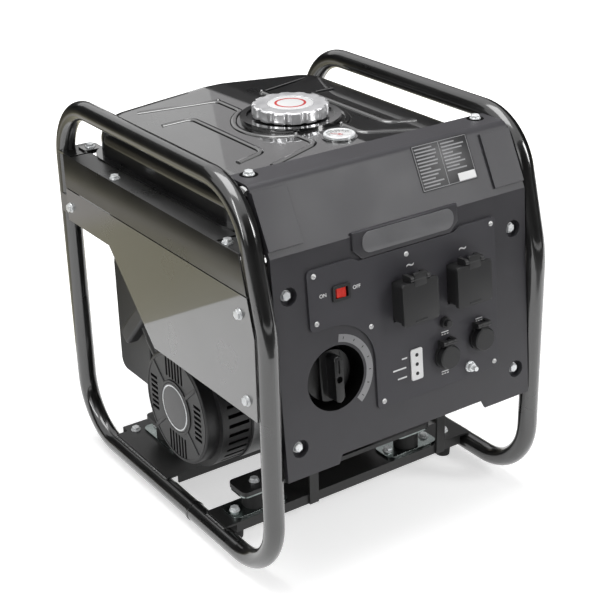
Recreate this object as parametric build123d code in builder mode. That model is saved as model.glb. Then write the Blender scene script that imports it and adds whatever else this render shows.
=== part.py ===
from build123d import *
import os
from math import cos, radians, sin, tan

# An open-frame inverter generator with a recoil-started engine under a steel fuel tank.
# Millimetres, +Z up. The control panel faces -Y and the recoil starter is on the -X side.
# The origin is on the ground, in the middle of the whole object.

# Sheet, fits and fasteners
sheet = 2.0
plate_steel = 3.0
clearance = 0.4
running_fit = 0.05
bolt_dia = 6.0
bolt_hole_dia = 6.6
bolt_flange_dia = 14.0
bolt_flange = 1.6
bolt_head_across = 10.0
bolt_head = 5.0

# Frame loops of bent tube
tube_dia = 25.4
loop_spacing = 400.0
loop_depth = 482.4
loop_low_z = 20.0
loop_top_z = 505.0
loop_kink_z = 345.0
loop_rake = 15.5
loop_bend_radius = 80.0
loop_kink_radius = 150.0
loop_centre_y = 5.9
tab_width = 26.0

tube_r = tube_dia / 2
loop_x = loop_spacing / 2
inner_x = loop_x - tube_r
outer_x = loop_x + tube_r
front_y = loop_centre_y - loop_depth / 2
rear_y = loop_centre_y + loop_depth / 2


def upright_y(z):
    """Centre line of a front upright, which leans back above its kink."""
    return front_y + max(0.0, z - loop_kink_z) * tan(radians(loop_rake))


# Crossmembers, feet and engine mounts
deck_z = loop_low_z + tube_r
deck_top = deck_z + plate_steel
deck_flange = 11.0
deck_end_gap = 4.0
front_deck_reach = 136.5
front_deck_y = front_y + front_deck_reach
front_deck_width = 46.0
rear_deck_reach = 96.5
rear_deck_y = loop_centre_y + rear_deck_reach
rear_deck_width = 157.0
foot_inset = 15.3
foot_x = inner_x - foot_inset
foot_dia = 24.0
foot_taper = 4.0
foot_bolt_length = 26.0
rear_foot_inset = 18.0
rear_foot_y = rear_deck_y + rear_deck_width / 2 - rear_foot_inset
mount_bolt_pitch = 62.0
mount_front_left = (mount_bolt_pitch / 2 - foot_x, front_deck_y)
mount_front_right = (105.0, front_deck_y)
mount_rear_shift = 15.5
mount_rear_left = (-144.0, rear_deck_y + mount_rear_shift)
mount_rear_right = (105.0, rear_deck_y + mount_rear_shift)
mount_plate_length = 84.0
mount_plate_width = 38.0
mount_cap_length = 56.0
mount_rubber_dia = 34.0
mount_rubber_height = 23.0

front_mounts = [mount_front_left, mount_front_right]
rear_mounts = [mount_rear_left, mount_rear_right]
mount_low_top = deck_top + plate_steel
mount_high_z = mount_low_top + mount_rubber_height
engine_base_z = mount_high_z + plate_steel
engine_base_thickness = 6.0
engine_base_bar = 40.0
engine_floor_z = engine_base_z + engine_base_thickness

# Side rails and side panels
rail_drop = 67.0
rail_top_z = loop_top_z - rail_drop
rail_height = 46.5
rail_groove = 1.6
rail_rear_inset = 22.0
rail_front_inset = 4.0
ledge_front_reach = 162.0
ledge_rear_reach = 199.0
ledge_front_y = loop_centre_y - ledge_front_reach
ledge_rear_y = loop_centre_y + ledge_rear_reach
ledge_bolt_out = 6.0
ledge_bolt_x = loop_x + ledge_bolt_out
ledge_bolt_reaches = [-176.0, 90.0]
ledge_bolt_ys = [loop_centre_y + reach for reach in ledge_bolt_reaches]
panel_low_z = 240.0
panel_bolt_rise = 20.0
panel_bolt_drop = 73.0
panel_bolt_insets = [24.2, 33.2, 31.2]
panel_step_y = loop_centre_y
panel_rear_drop = 93.0
panel_rear_z = rail_top_z - panel_rear_drop
side_bolt_points = [
    (front_y + panel_bolt_insets[0], panel_low_z + panel_bolt_rise),
    (front_y + panel_bolt_insets[1], rail_top_z - panel_bolt_drop),
    (rear_y - panel_bolt_insets[2], rail_top_z - panel_bolt_drop),
]

# Fuel tank
tank_wall = 2.0
tank_side_gap = 7.3
tank_width = loop_spacing - tube_dia - 2 * tank_side_gap
tank_front_reach = 172.0
tank_rear_reach = 208.0
tank_front_y = loop_centre_y - tank_front_reach
tank_rear_y = loop_centre_y + tank_rear_reach
tank_corner = 46.0
tank_seam = 2.5
tank_flange = 8.0
tank_drop = 42.0
tank_low_z = rail_top_z - tank_drop
tank_low_inset = 7.0
tank_rise = 62.0
tank_crown_z = rail_top_z + tank_rise
tank_fall = 14.0
tank_crown_half = 14.0
tank_crease_radius = 90.0
tank_edge_radius = 12.0
tank_shoulder_radius = 30.0
tank_ear_inset = 4.0
tank_ear_x = tank_width / 2 - tank_ear_inset
ledge_gap = 4.0
ledge_inner_x = tank_width / 2 + ledge_gap
tank_ear_reach = 8.0
tank_nipple = (-110.0, loop_centre_y - 150.0)
neck_outer_dia = 54.0
neck_bore_dia = 46.0
neck_height = 9.0
collar_dia = 128.0
collar_lift = 0.6
collar_height = 3.0
collar_width = 8.0
cap_dia = 97.0
cap_height = 14.0
cap_edge = 2.5
cap_scallops = 14
cap_scallop_dia = 12.0
cap_disc_dia = 60.0
gauge_y = loop_centre_y - 104.0
gauge_dia = 38.0
gauge_height = 3.0
gauge_pad = 3.0

# Front panel, on a face that leans back, and the flatter brow above it
panel_lean = 5.0
panel_ref_z = 280.0
panel_stand = 2.1
panel_wall = 3.0
panel_half = inner_x - 1.0
panel_foot_v = -122.6
panel_notch_v = -111.5
panel_notch_half = 108.0
brow_v = 150.0
brow_top_y = front_y + 50.0
brow_drop = 1.0
brow_top_z = loop_top_z - brow_drop
brow_flange = 42.0
panel_return = 7.0
brow_radius = 10.0
brow_share = 0.9
panel_bolt_inset = 21.3
panel_bolt_u = inner_x - panel_bolt_inset
panel_bolt_vs = [102.0, -85.0]
panel_cup_dia = 22.0
panel_cup_depth = 8.0
brow_bolt_inset = 22.3
brow_bolt_x = inner_x - brow_bolt_inset
brow_bolt_back = 31.0
brow_end = 46.3
brow_field_half = panel_half - brow_end
brow_field_depth = 3.0

# Control plate and what it carries
plate = 2.5
plate_left = -142.0
plate_right = 135.0
plate_top = 126.0
plate_dip = 121.0
plate_dip_half = 70.0
plate_low = -71.0
plate_inner = -54.0
plate_corner = 6.0
window_left = -40.0
window_right = 121.0
window_low = -50.0
window_high = 104.0
knob_u = -110.0
knob_v = -13.0
knob_arc_u = -112.0
knob_arc_v = -6.0
knob_recess_dia = 80.0
knob_recess_depth = 24.0
knob_dia = 66.0
knob_skirt = 10.0
knob_grip_width = 12.0
knob_grip_length = 58.0
knob_proud = 7.0
knob_edge = 3.0
spindle_dia = 8.0
spindle_length = 24.0
valve_dia = 40.0
valve_depth = 26.0
rocker_u = -97.0
rocker_v = 90.0
rocker_length = 17.0
rocker_width = 11.5
rocker_tilt = 8.0
rocker_pivot_off = -2.5
rocker_crest = 5.7
bezel_border = 2.0
bezel_wall = 1.5
bezel_depth = 16.0
bezel_window = 26.0
outlet_us = [0.0, 82.5]
outlet_v = 58.0
outlet_size = 50.0
outlet_proud = 19.0
outlet_depth = 26.0
outlet_well_dia = 40.0
outlet_well_depth = 17.0
outlet_corner = 5.0
outlet_pins = [(-6.5, 4.0), (6.5, 4.0), (0.0, -8.0)]
outlet_pin_dia = 5.0
lid_width = 53.0
lid_height = 52.0
lid_thickness = 6.0
lid_edge = 1.5
hinge_pin_dia = 3.0
hinge_knuckle_dia = 7.0
hinge_knuckle = 18.0
hinge_ear = 5.0
ear_root = 10.0
strip_u = 5.5
strip_v = -29.0
strip_width = 17.5
strip_height = 40.0
strip_thickness = 1.5
lamp_dia = 4.0
lamp_pitch = 12.0
breaker_u = 51.0
breaker_v = 12.0
breaker_collar_dia = 14.0
breaker_collar = 5.0
breaker_barrel_dia = 11.6
breaker_stem = 10.0
breaker_dia = 9.0
breaker_proud = 6.0
breaker_travel = 3.0
breaker_depth = 22.0
round_sockets = {"dc_socket": (50.0, -31.0), "usb_socket": (105.0, -23.0)}
round_flange_dia = 33.0
round_flange = 4.0
round_barrel_dia = 27.0
round_depth = 30.0
round_well_dia = 21.0
round_well_depth = 22.0
round_cap_dia = 30.0
round_cap = 8.0
round_knuckle = 10.0
ground_u = 88.0
ground_v = -57.0
ground_length = 13.0
ground_hole_dia = 10.0
plate_screw_dia = 6.5
plate_screw_head = 2.2
screw_shank_dia = 3.0
screw_taper = 25.0
plate_screw_points = [
    (-133.0, 118.0),
    (-133.0, 61.0),
    (-58.0, 37.0),
    (-45.0, -62.0),
    (128.0, -62.0),
    (128.0, 118.0),
    (-2.0, 112.0),
]

# Inverter module on two uprights behind the panel
upright_width = 14.0
upright_inset = 9.0
upright_top_z = 320.0
module_left = -75.0
module_right = 155.0
upright_xs = [module_left + upright_inset, module_right - upright_inset]
module_low_z = 172.0
module_high_z = 330.0
module_depth = 54.0
module_fin = 2.5
module_fins = 18
module_fin_depth = 22.0

# Engine: crankshaft along X, cylinder leaning back
crank_y = loop_centre_y + 4.0
crank_z = 144.5
case_left = -74.0
case_right = 70.0
case_radius = 66.0
case_wall = 9.0
case_cover = 20.0
case_base_half = 60.0
boss_dia = 60.0
boss_length = 30.0
journal_end = 14.0
shaft_left = -122.0
crank_pin_length = 20.0
journal_dia = 25.0
web_radius = 43.0
web_thickness = 14.0
crank_throw = 27.0
crank_pin_dia = 22.0
cylinder_lean = 25.0
barrel_start = 64.0
barrel_end = 122.0
barrel_dia = 78.0
fin_width = 100.0
fin_height = 92.0
fin_thickness = 2.6
fin_count = 7
cylinder_bore = 60.0
head_core = 76.0
head_fins = 4
port_dia = 22.0
filler_x = 45.0
filler_z = 98.0
filler_tilt = 30.0
filler_dia = 30.0
filler_length = 14.0
plug_bore = 18.0
dipstick_dia = 4.0
dipstick_length = 30.0
head_length = 30.0
rocker_cover_length = 26.0
plug_dia = 14.0
plug_hex = 20.0
plug_seat = 34.0
plug_boot = 30.0

# Alternator, cooling fan and recoil starter, from the crankcase outwards
housing_left = -124.0
housing_dia = 176.0
housing_wall = 3.0
flywheel_gap = 11.0
flywheel_dia = housing_dia - 2 * (housing_wall + flywheel_gap)
flywheel_rim = 16.0
flywheel_left = -120.0
flywheel_web = 12.0
flywheel_length = 40.0
stator_gap = 6.0
stator_dia = flywheel_dia - 2 * (flywheel_rim + stator_gap)
stator_length = 24.0
stator_slots = 12
stator_slot = 20.0
stator_slot_inset = 8.0
stator_slot_r = stator_dia / 2 - stator_slot_inset
fan_housing_step = 2.0
fan_housing_dia = housing_dia - 2 * fan_housing_step
fan_gap = 8.0
fan_dia = fan_housing_dia - 2 * (housing_wall + fan_gap)
fan_hub_dia = 56.0
fan_disc = 4.0
fan_blade_angle = 30.0
fan_blades = 14
fan_left = -160.0
fan_housing_left = -166.0
fan_slots = 40
fan_slot_width = 5.0
recoil_step = 9.0
recoil_dia = fan_housing_dia - 2 * recoil_step
recoil_left = -188.0
recoil_wall = 3.0
recoil_badge_dia = 66.0
recoil_badge = 1.6
recoil_slot_width = 4.4
recoil_slot_pitch = 7.6
recoil_slots = 6
recoil_hole_length = 17.0
recoil_holes = 7
pulley_dia = 84.0
pulley_groove_dia = 76.0
pulley_thickness = 12.0
pulley_post_dia = 16.0
rope_dia = 5.0
guide_angle = 44.0
guide_dia = 17.0
guide_bore = 8.0
guide_reach = 24.0
grip_length = 108.0
grip_width = 24.0
grip_thickness = 20.0
grip_edge = 5.0
grip_gap = 8.0
stem_dia = 15.0
pulley_x = -178.0
grip_x = -182.0

# Intake, exhaust and fuel
airbox_left = -168.0
airbox_right = -112.0
airbox_front_reach = 104.0
airbox_rear_reach = 192.0
airbox_front_y = loop_centre_y + airbox_front_reach
airbox_rear_y = loop_centre_y + airbox_rear_reach
airbox_low_z = 122.0
airbox_high_z = 296.0
airbox_wall = 2.5
airbox_cover = 22.0
airbox_corner = 16.0
carb_dia = 34.0
carb_x = -80.0
carb_flange = 52.0
bowl_dia = 36.0
bowl_depth = 44.0
muffler_left = 84.0
muffler_right = 168.0
muffler_front_reach = 68.0
muffler_rear_reach = 196.0
muffler_front_y = loop_centre_y + muffler_front_reach
muffler_rear_y = loop_centre_y + muffler_rear_reach
muffler_low_z = 176.0
muffler_high_z = 316.0
muffler_wall = 2.0
exhaust_dia = 30.0
exhaust_stub = 18.0
muffler_edge = 8.0
hose_dia = 9.0
hose_radius = 24.0
hose_bore = 6.0
hose_lead = 34.0
hose_run_z = 268.0
nipple_length = 13.0
panel_bolt_reach = 12.0

os.makedirs("parts", exist_ok=True)

lean_sin = sin(radians(panel_lean))
lean_cos = cos(radians(panel_lean))
panel_origin = (0, front_y - panel_stand, panel_ref_z)
panel_plane = Plane(origin=panel_origin, x_dir=(1, 0, 0), z_dir=(0, -lean_cos, lean_sin))
crank_plane = Plane(origin=(0, crank_y, crank_z), x_dir=(0, 1, 0), z_dir=(1, 0, 0))
bore_direction = (0, cos(radians(cylinder_lean)), sin(radians(cylinder_lean)))
bore_plane = Plane(origin=(0, crank_y, crank_z), x_dir=(1, 0, 0), z_dir=bore_direction)
rope_direction = (0, cos(radians(guide_angle)), sin(radians(guide_angle)))


def panel_point(u, v, off):
    """Point in space at u across, v up and off in front of the panel's face."""
    return panel_plane.from_local_coords(Vector(u, v, off))


def save(piece, name):
    """Label a finished piece and write it to its own file."""
    piece.part.label = name
    export_step(piece.part, f"parts/{name}.step")


def flange_bolt(shank):
    """Flanged hex bolt whose seat is at z = 0, head up and shank down."""
    with BuildPart() as bolt:
        with BuildSketch():
            Circle(bolt_flange_dia / 2)
        extrude(amount=bolt_flange, taper=20)
        with BuildSketch():
            RegularPolygon(bolt_head_across / 2, 6, major_radius=False)
        extrude(amount=bolt_head)
        chamfer(bolt.faces().sort_by(Axis.Z)[-1].edges(), bolt_flange / 2)
        with BuildSketch():
            Circle(bolt_dia / 2)
        extrude(amount=-shank)
    return bolt


def mirrored(piece):
    """The same piece for the +X side."""
    with BuildPart() as other:
        mirror(piece.part, about=Plane.YZ)
    return other


# Frame loop: one closed bend of tube with the tabs that are welded to it
loop_points = [
    (front_y, loop_low_z),
    (rear_y, loop_low_z),
    (rear_y, loop_top_z),
    (upright_y(loop_top_z), loop_top_z),
    (front_y, loop_kink_z),
]
loop_radii = [loop_bend_radius] * 4 + [loop_kink_radius]
panel_tab_plane = panel_plane.offset(-panel_cup_depth - panel_wall)
tank_tab_ys = [tank_front_y - tank_ear_reach, tank_rear_y + tank_ear_reach]
tank_tab_z = rail_top_z - plate_steel
brow_bolt_y = brow_top_y + brow_bolt_back
with BuildPart() as frame_loop_left:
    with BuildLine(Plane.YZ.offset(-loop_x)) as loop_path:
        FilletPolyline(*loop_points, radius=loop_radii, close=True)
    with BuildSketch(Plane(origin=loop_path.line @ 0, z_dir=loop_path.line % 0)):
        Circle(tube_r)
    sweep(path=loop_path.line)
    for bolt_y, bolt_z in side_bolt_points:
        tube_y = rear_y if bolt_y > loop_centre_y else upright_y(bolt_z)
        inward = -1 if bolt_y > loop_centre_y else 1
        tab_end = bolt_y + inward * tab_width / 2
        with BuildSketch(Plane.YZ.offset(-outer_x)):
            with Locations(((tube_y + tab_end) / 2, bolt_z)):
                Rectangle(abs(tube_y - tab_end), tab_width)
            with Locations((bolt_y, bolt_z)):
                Circle(bolt_hole_dia / 2, mode=Mode.SUBTRACT)
        extrude(amount=plate_steel)
    with BuildSketch(panel_tab_plane):
        for bolt_v in panel_bolt_vs:
            tab_inner = panel_bolt_u - tab_width / 2
            with Locations((-(inner_x + tube_r / 2 + tab_inner) / 2, bolt_v)):
                Rectangle(inner_x + tube_r / 2 - tab_inner, tab_width)
            with Locations((-panel_bolt_u, bolt_v)):
                Circle(bolt_hole_dia / 2, mode=Mode.SUBTRACT)
    extrude(amount=-plate_steel)
    with BuildSketch(Plane.XY.offset(brow_top_z - panel_wall)):
        with Locations((-(inner_x + tube_r / 2 + brow_bolt_x - tab_width / 2) / 2, brow_bolt_y)):
            Rectangle(inner_x + tube_r / 2 - brow_bolt_x + tab_width / 2, tab_width)
        with Locations((-brow_bolt_x, brow_bolt_y)):
            Circle(bolt_hole_dia / 2, mode=Mode.SUBTRACT)
    extrude(amount=-plate_steel)
    for tab_y, tube_y in zip(tank_tab_ys, [upright_y(tank_tab_z), rear_y]):
        tab_far = tab_y - tab_width / 2 if tube_y > tab_y else tab_y + tab_width / 2
        tab_left = outer_x
        tab_right = tank_ear_x - tab_width / 2
        with BuildSketch(Plane.XY.offset(tank_tab_z)):
            with Locations((-(tab_left + tab_right) / 2, (tube_y + tab_far) / 2)):
                Rectangle(tab_left - tab_right, abs(tube_y - tab_far))
            with Locations((-tank_ear_x, tab_y), (-ledge_bolt_x, ledge_bolt_ys[0])):
                Circle(bolt_hole_dia / 2, mode=Mode.SUBTRACT)
        extrude(amount=plate_steel)
save(frame_loop_left, "frame_loop_left")
save(mirrored(frame_loop_left), "frame_loop_right")


# Crossmembers: folded sheet lying on the two lower tubes
def deck(middle_y, width, hole_points):
    """Deck plate with two flanges, resting on the tubes as far as they run straight."""
    low_y = middle_y - width / 2
    high_y = min(middle_y + width / 2, rear_y - loop_bend_radius)
    with BuildPart() as plate_piece:
        with BuildSketch(Plane.XY.offset(deck_z)):
            with Locations((0, middle_y)):
                Rectangle(2 * (inner_x - deck_end_gap), width)
            with Locations((0, (low_y + high_y) / 2)):
                Rectangle(loop_spacing, high_y - low_y)
            with Locations(*hole_points):
                Circle(bolt_hole_dia / 2, mode=Mode.SUBTRACT)
        extrude(amount=plate_steel)
        with BuildSketch(Plane.XY.offset(deck_z)):
            with GridLocations(0, width - plate_steel, 1, 2):
                with Locations((0, middle_y)):
                    Rectangle(2 * (inner_x - deck_end_gap), plate_steel)
        extrude(amount=-deck_flange)
    return plate_piece


half_pitch = mount_bolt_pitch / 2
front_feet = [(-foot_x, front_deck_y), (foot_x, front_deck_y)]
rear_feet = [(-foot_x, rear_foot_y), (foot_x, rear_foot_y)]
front_low_bolts = [(x + side * half_pitch, y) for x, y in front_mounts for side in (-1, 1)]
rear_low_bolts = [(x, y + side * half_pitch) for x, y in rear_mounts for side in (-1, 1)]
upright_back_y = front_deck_y - front_deck_width / 2
with BuildPart() as front_crossmember:
    add(deck(front_deck_y, front_deck_width, front_feet + front_low_bolts[1:]).part)
    with BuildSketch(Plane.XZ.offset(-upright_back_y)):
        for upright_x in upright_xs:
            with Locations((upright_x, (deck_z - deck_flange + upright_top_z) / 2)):
                Rectangle(upright_width, upright_top_z - deck_z + deck_flange)
    extrude(amount=plate_steel)
save(front_crossmember, "front_crossmember")
save(deck(rear_deck_y, rear_deck_width, rear_feet + rear_low_bolts), "rear_crossmember")

# Rubber feet under the crossmembers
with BuildPart() as rubber_feet:
    with BuildSketch(Plane.XY.offset(deck_z)):
        with Locations(*front_feet, *rear_feet):
            Circle(foot_dia / 2)
    extrude(amount=-deck_z, taper=foot_taper)
    with BuildSketch(Plane.XY.offset(deck_z)):
        with Locations(*front_feet, *rear_feet):
            Circle(bolt_hole_dia / 2)
    extrude(amount=-foot_bolt_length, mode=Mode.SUBTRACT)
save(rubber_feet, "rubber_feet")

# Anti-vibration mounts: plate, bonded rubber, plate
with BuildPart() as mount_plates:
    with BuildSketch(Plane.XY.offset(deck_top)):
        with Locations(*front_mounts):
            RectangleRounded(mount_plate_length, mount_plate_width, mount_plate_width / 4)
        with Locations(*rear_mounts):
            RectangleRounded(mount_plate_width, mount_plate_length, mount_plate_width / 4)
        with Locations(*front_low_bolts, *rear_low_bolts):
            Circle(bolt_hole_dia / 2, mode=Mode.SUBTRACT)
    extrude(amount=plate_steel)
    with BuildSketch(Plane.XY.offset(mount_high_z)):
        with Locations(*front_mounts):
            RectangleRounded(mount_cap_length, mount_plate_width, mount_plate_width / 4)
        with Locations(*rear_mounts):
            RectangleRounded(mount_plate_width, mount_cap_length, mount_plate_width / 4)
        with Locations(*front_mounts, *rear_mounts):
            Circle(bolt_hole_dia / 2, mode=Mode.SUBTRACT)
    extrude(amount=plate_steel)
save(mount_plates, "mount_plates")

mount_bolt_reach = engine_base_thickness + plate_steel + mount_rubber_height / 2
with BuildPart() as rubber_mounts:
    with BuildSketch(Plane.XY.offset(mount_low_top)):
        with Locations(*front_mounts, *rear_mounts):
            Circle(mount_rubber_dia / 2)
    extrude(amount=mount_rubber_height)
    with BuildSketch(Plane.XY.offset(mount_high_z)):
        with Locations(*front_mounts, *rear_mounts):
            Circle(bolt_hole_dia / 2)
    extrude(amount=-mount_rubber_height / 2, mode=Mode.SUBTRACT)
save(rubber_mounts, "rubber_mounts")

# Engine base: an H of thick plate on the four mounts
base_left = mount_front_left[0] - mount_cap_length / 2
base_right = mount_front_right[0] + mount_cap_length / 2
with BuildPart() as engine_base:
    with BuildSketch(Plane.XY.offset(engine_base_z)):
        for bar_y in (mount_front_left[1], mount_rear_left[1]):
            with Locations(((base_left + base_right) / 2, bar_y)):
                RectangleRounded(base_right - base_left, engine_base_bar, engine_base_bar / 5)
        with Locations(((case_left + case_right) / 2, (front_deck_y + mount_rear_left[1]) / 2)):
            Rectangle(case_right - case_left, mount_rear_left[1] - front_deck_y)
        with Locations(*front_mounts, *rear_mounts):
            Circle(bolt_hole_dia / 2, mode=Mode.SUBTRACT)
    extrude(amount=engine_base_thickness)
save(engine_base, "engine_base")

# Bolts of the feet, the mounts and the engine base
deck_bolt = flange_bolt(2 * plate_steel + bolt_head)
foot_bolt = flange_bolt(foot_bolt_length)
mount_bolt = flange_bolt(mount_bolt_reach)
shared_feet = [(x, y, mount_low_top) for x, y in front_feet[:1]]
lone_feet = [(x, y, deck_top) for x, y in front_feet[1:] + rear_feet]
with BuildPart() as deck_bolts:
    with Locations(*shared_feet, *lone_feet):
        add(foot_bolt.part)
    with Locations(*[(x, y, mount_low_top) for x, y in front_low_bolts[1:] + rear_low_bolts]):
        add(deck_bolt.part)
    with Locations(*[(x, y, engine_floor_z) for x, y in front_mounts + rear_mounts]):
        add(mount_bolt.part)
save(deck_bolts, "deck_bolts")

# Side rail: a folded strip outside the tubes with a ledge that carries the tank
rail_low_z = rail_top_z - rail_height
rail_rear_y = rear_y - rail_rear_inset
with BuildPart() as side_rail_left:
    with BuildSketch(Plane.YZ.offset(-outer_x - sheet)):
        with BuildLine():
            Polyline(
                (upright_y(rail_low_z) + rail_front_inset, rail_low_z),
                (rail_rear_y, rail_low_z),
                (rail_rear_y, rail_top_z),
                (upright_y(rail_top_z) + rail_front_inset, rail_top_z),
                close=True,
            )
        make_face()
    extrude(amount=sheet)
    with BuildSketch(Plane.XY.offset(rail_top_z - sheet)):
        with Locations((-(outer_x + ledge_inner_x) / 2, (ledge_front_y + ledge_rear_y) / 2)):
            Rectangle(outer_x - ledge_inner_x, ledge_rear_y - ledge_front_y)
        with Locations((-ledge_bolt_x, ledge_bolt_ys[1])):
            Circle(bolt_hole_dia / 2, mode=Mode.SUBTRACT)
    extrude(amount=sheet)
save(side_rail_left, "side_rail_left")
save(mirrored(side_rail_left), "side_rail_right")

# Side panel: sheet below the rail, cut away at the back for the recoil handle
panel_high_z = rail_low_z - rail_groove
panel_rise = panel_rear_z - panel_low_z
with BuildPart() as side_panel_left:
    with BuildSketch(Plane.YZ.offset(-outer_x - sheet)):
        with BuildLine():
            Polyline(
                (front_y + rail_front_inset, panel_low_z),
                (panel_step_y, panel_low_z),
                (panel_step_y + panel_rise, panel_rear_z),
                (rail_rear_y, panel_rear_z),
                (rail_rear_y, panel_high_z),
                (upright_y(panel_high_z) + rail_front_inset, panel_high_z),
                (front_y + rail_front_inset, loop_kink_z),
                close=True,
            )
        make_face()
        with Locations(*side_bolt_points):
            Circle(bolt_hole_dia / 2, mode=Mode.SUBTRACT)
    extrude(amount=sheet)
save(side_panel_left, "side_panel_left")
save(mirrored(side_panel_left), "side_panel_right")


# Fuel tank: two pressed halves on a welded seam, with a filler neck and a hose nipple
tank_middle_y = (tank_front_y + tank_rear_y) / 2
tank_slope = tank_fall / (tank_width / 2 - tank_crown_half)
nipple_dia = hose_bore - 2 * running_fit


def tank_form(shrink, seam_z):
    """Outer form of the tank, or its inside when shrunk by the wall, parted at the seam."""
    half = tank_width / 2 - shrink
    length = tank_rear_y - tank_front_y - 2 * shrink
    crown = tank_crown_z - shrink
    edge_z = crown - tank_slope * (half - tank_crown_half)
    inset = 2 * tank_low_inset
    low_corner = tank_corner - shrink - tank_low_inset
    with BuildPart() as form:
        with BuildSketch(Plane.XY.offset(seam_z)):
            with Locations((0, tank_middle_y)):
                RectangleRounded(2 * half, length, tank_corner - shrink)
        extrude(amount=crown - seam_z)
        with BuildSketch(Plane.XZ) as gable:
            with BuildLine():
                Polyline(
                    (-half, rail_top_z),
                    (-half, edge_z),
                    (-tank_crown_half, crown),
                    (tank_crown_half, crown),
                    (half, edge_z),
                    (half, rail_top_z),
                    close=True,
                )
            make_face()
            fillet(gable.vertices().group_by(Axis.Y)[-1], tank_crease_radius)
        extrude(amount=loop_depth, both=True, mode=Mode.INTERSECT)
        walls = form.faces().filter_by(lambda face: abs(face.normal_at().Z) < running_fit)
        rim_z = edge_z - tank_fall
        rim = walls.edges().filter_by(lambda edge: edge.center().Z > rim_z)
        fillet(rim, tank_shoulder_radius - shrink)
        with BuildSketch(Plane.XY.offset(seam_z)):
            with Locations((0, tank_middle_y)):
                RectangleRounded(2 * half - inset, length - inset, low_corner)
        extrude(amount=tank_low_z + shrink - seam_z)
        fillet(form.faces().sort_by(Axis.Z)[0].edges(), tank_edge_radius - shrink)
    return form


cap_y = loop_centre_y
pad_top_z = tank_crown_z + collar_lift
neck_top_z = tank_crown_z + neck_height
ear_points = [(side * tank_ear_x, ear_y) for side in (-1, 1) for ear_y in tank_tab_ys]
with BuildPart() as fuel_tank:
    add(tank_form(0, rail_top_z).part)
    with BuildSketch(Plane.XY.offset(rail_top_z)):
        with Locations((0, tank_middle_y)):
            flange_length = tank_rear_y - tank_front_y + 2 * tank_flange
            RectangleRounded(tank_width + 2 * tank_flange, flange_length, tank_corner + tank_flange)
        with Locations(*ear_points):
            RectangleRounded(tab_width, tab_width, bolt_dia)
        with Locations(*ear_points):
            Circle(bolt_hole_dia / 2, mode=Mode.SUBTRACT)
    extrude(amount=tank_seam)
    with BuildSketch(Plane.XY.offset(pad_top_z)):
        with Locations((0, cap_y)):
            Circle(collar_dia / 2)
        with Locations((0, gauge_y)):
            Circle(gauge_dia / 2 + gauge_pad)
    extrude(amount=-tank_fall)
    with BuildSketch(Plane.XY.offset(pad_top_z)):
        with Locations((0, cap_y)):
            Circle(collar_dia / 2)
            Circle(collar_dia / 2 - collar_width, mode=Mode.SUBTRACT)
    extrude(amount=collar_height)
    with BuildSketch(Plane.XY.offset(tank_crown_z)):
        with Locations((0, cap_y)):
            Circle(neck_outer_dia / 2)
    extrude(amount=neck_height)
    with BuildSketch(Plane.XY.offset(tank_low_z)):
        with Locations(tank_nipple):
            Circle(nipple_dia / 2)
    extrude(amount=-nipple_length)
    add(tank_form(tank_wall, rail_top_z + tank_seam).part, mode=Mode.SUBTRACT)
    with BuildSketch(Plane.XY.offset(neck_top_z)):
        with Locations((0, cap_y)):
            Circle(neck_bore_dia / 2)
    extrude(amount=-neck_height - 2 * tank_wall, mode=Mode.SUBTRACT)
save(fuel_tank, "fuel_tank")

cap_low_z = pad_top_z + collar_height + clearance
with BuildPart() as fuel_cap:
    with BuildSketch(Plane.XY.offset(cap_low_z)):
        with Locations((0, cap_y)):
            Circle(cap_dia / 2)
            with PolarLocations(cap_dia / 2 + cap_scallop_dia / 4, cap_scallops):
                Circle(cap_scallop_dia / 2, mode=Mode.SUBTRACT)
    extrude(amount=cap_height)
    fillet(fuel_cap.faces().sort_by(Axis.Z)[-1].edges(), cap_edge)
    with BuildSketch(Plane.XY.offset(cap_low_z)):
        with Locations((0, cap_y)):
            Circle(neck_outer_dia / 2 + clearance)
    extrude(amount=neck_top_z + clearance - cap_low_z, mode=Mode.SUBTRACT)
    with BuildSketch(Plane.XY.offset(cap_low_z + cap_height)):
        with Locations((0, cap_y)):
            Circle(cap_disc_dia / 2)
    extrude(amount=-sheet / 2, mode=Mode.SUBTRACT)
save(fuel_cap, "fuel_cap")

with BuildPart() as fuel_gauge:
    with BuildSketch(Plane.XY.offset(pad_top_z)):
        with Locations((0, gauge_y)):
            Circle(gauge_dia / 2)
    extrude(amount=gauge_height)
    with BuildSketch(Plane.XY.offset(pad_top_z + gauge_height)):
        with Locations((0, gauge_y)):
            Circle(gauge_dia / 2 - sheet)
    extrude(amount=-gauge_height / 2, mode=Mode.SUBTRACT)
save(fuel_gauge, "fuel_gauge")


# Front panel: one folded sheet, the leaning face, the flatter brow and the flange over the tank
def folded(points, depth):
    """Closed outline of a folded sheet: its outer line, and that line set back by the depth."""
    lines = [Vector(*end) - Vector(*start) for start, end in zip(points, points[1:])]
    normals = [Vector(line.Y, -line.X).normalized() for line in lines]
    pairs = zip(points, normals[:1] + normals, normals + normals[-1:])
    back = [Vector(*point) + (a + b) * (depth / (1 + a.dot(b))) for point, a, b in pairs]
    return [Vector(*point) for point in points] + back[::-1]


def brow_point(share):
    """Point on the brow's face, from its lower bend at 0 to its top at 1."""
    return (bend[0] + share * (brow_top_y - bend[0]), bend[1] + share * (brow_top_z - bend[1]))


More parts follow.
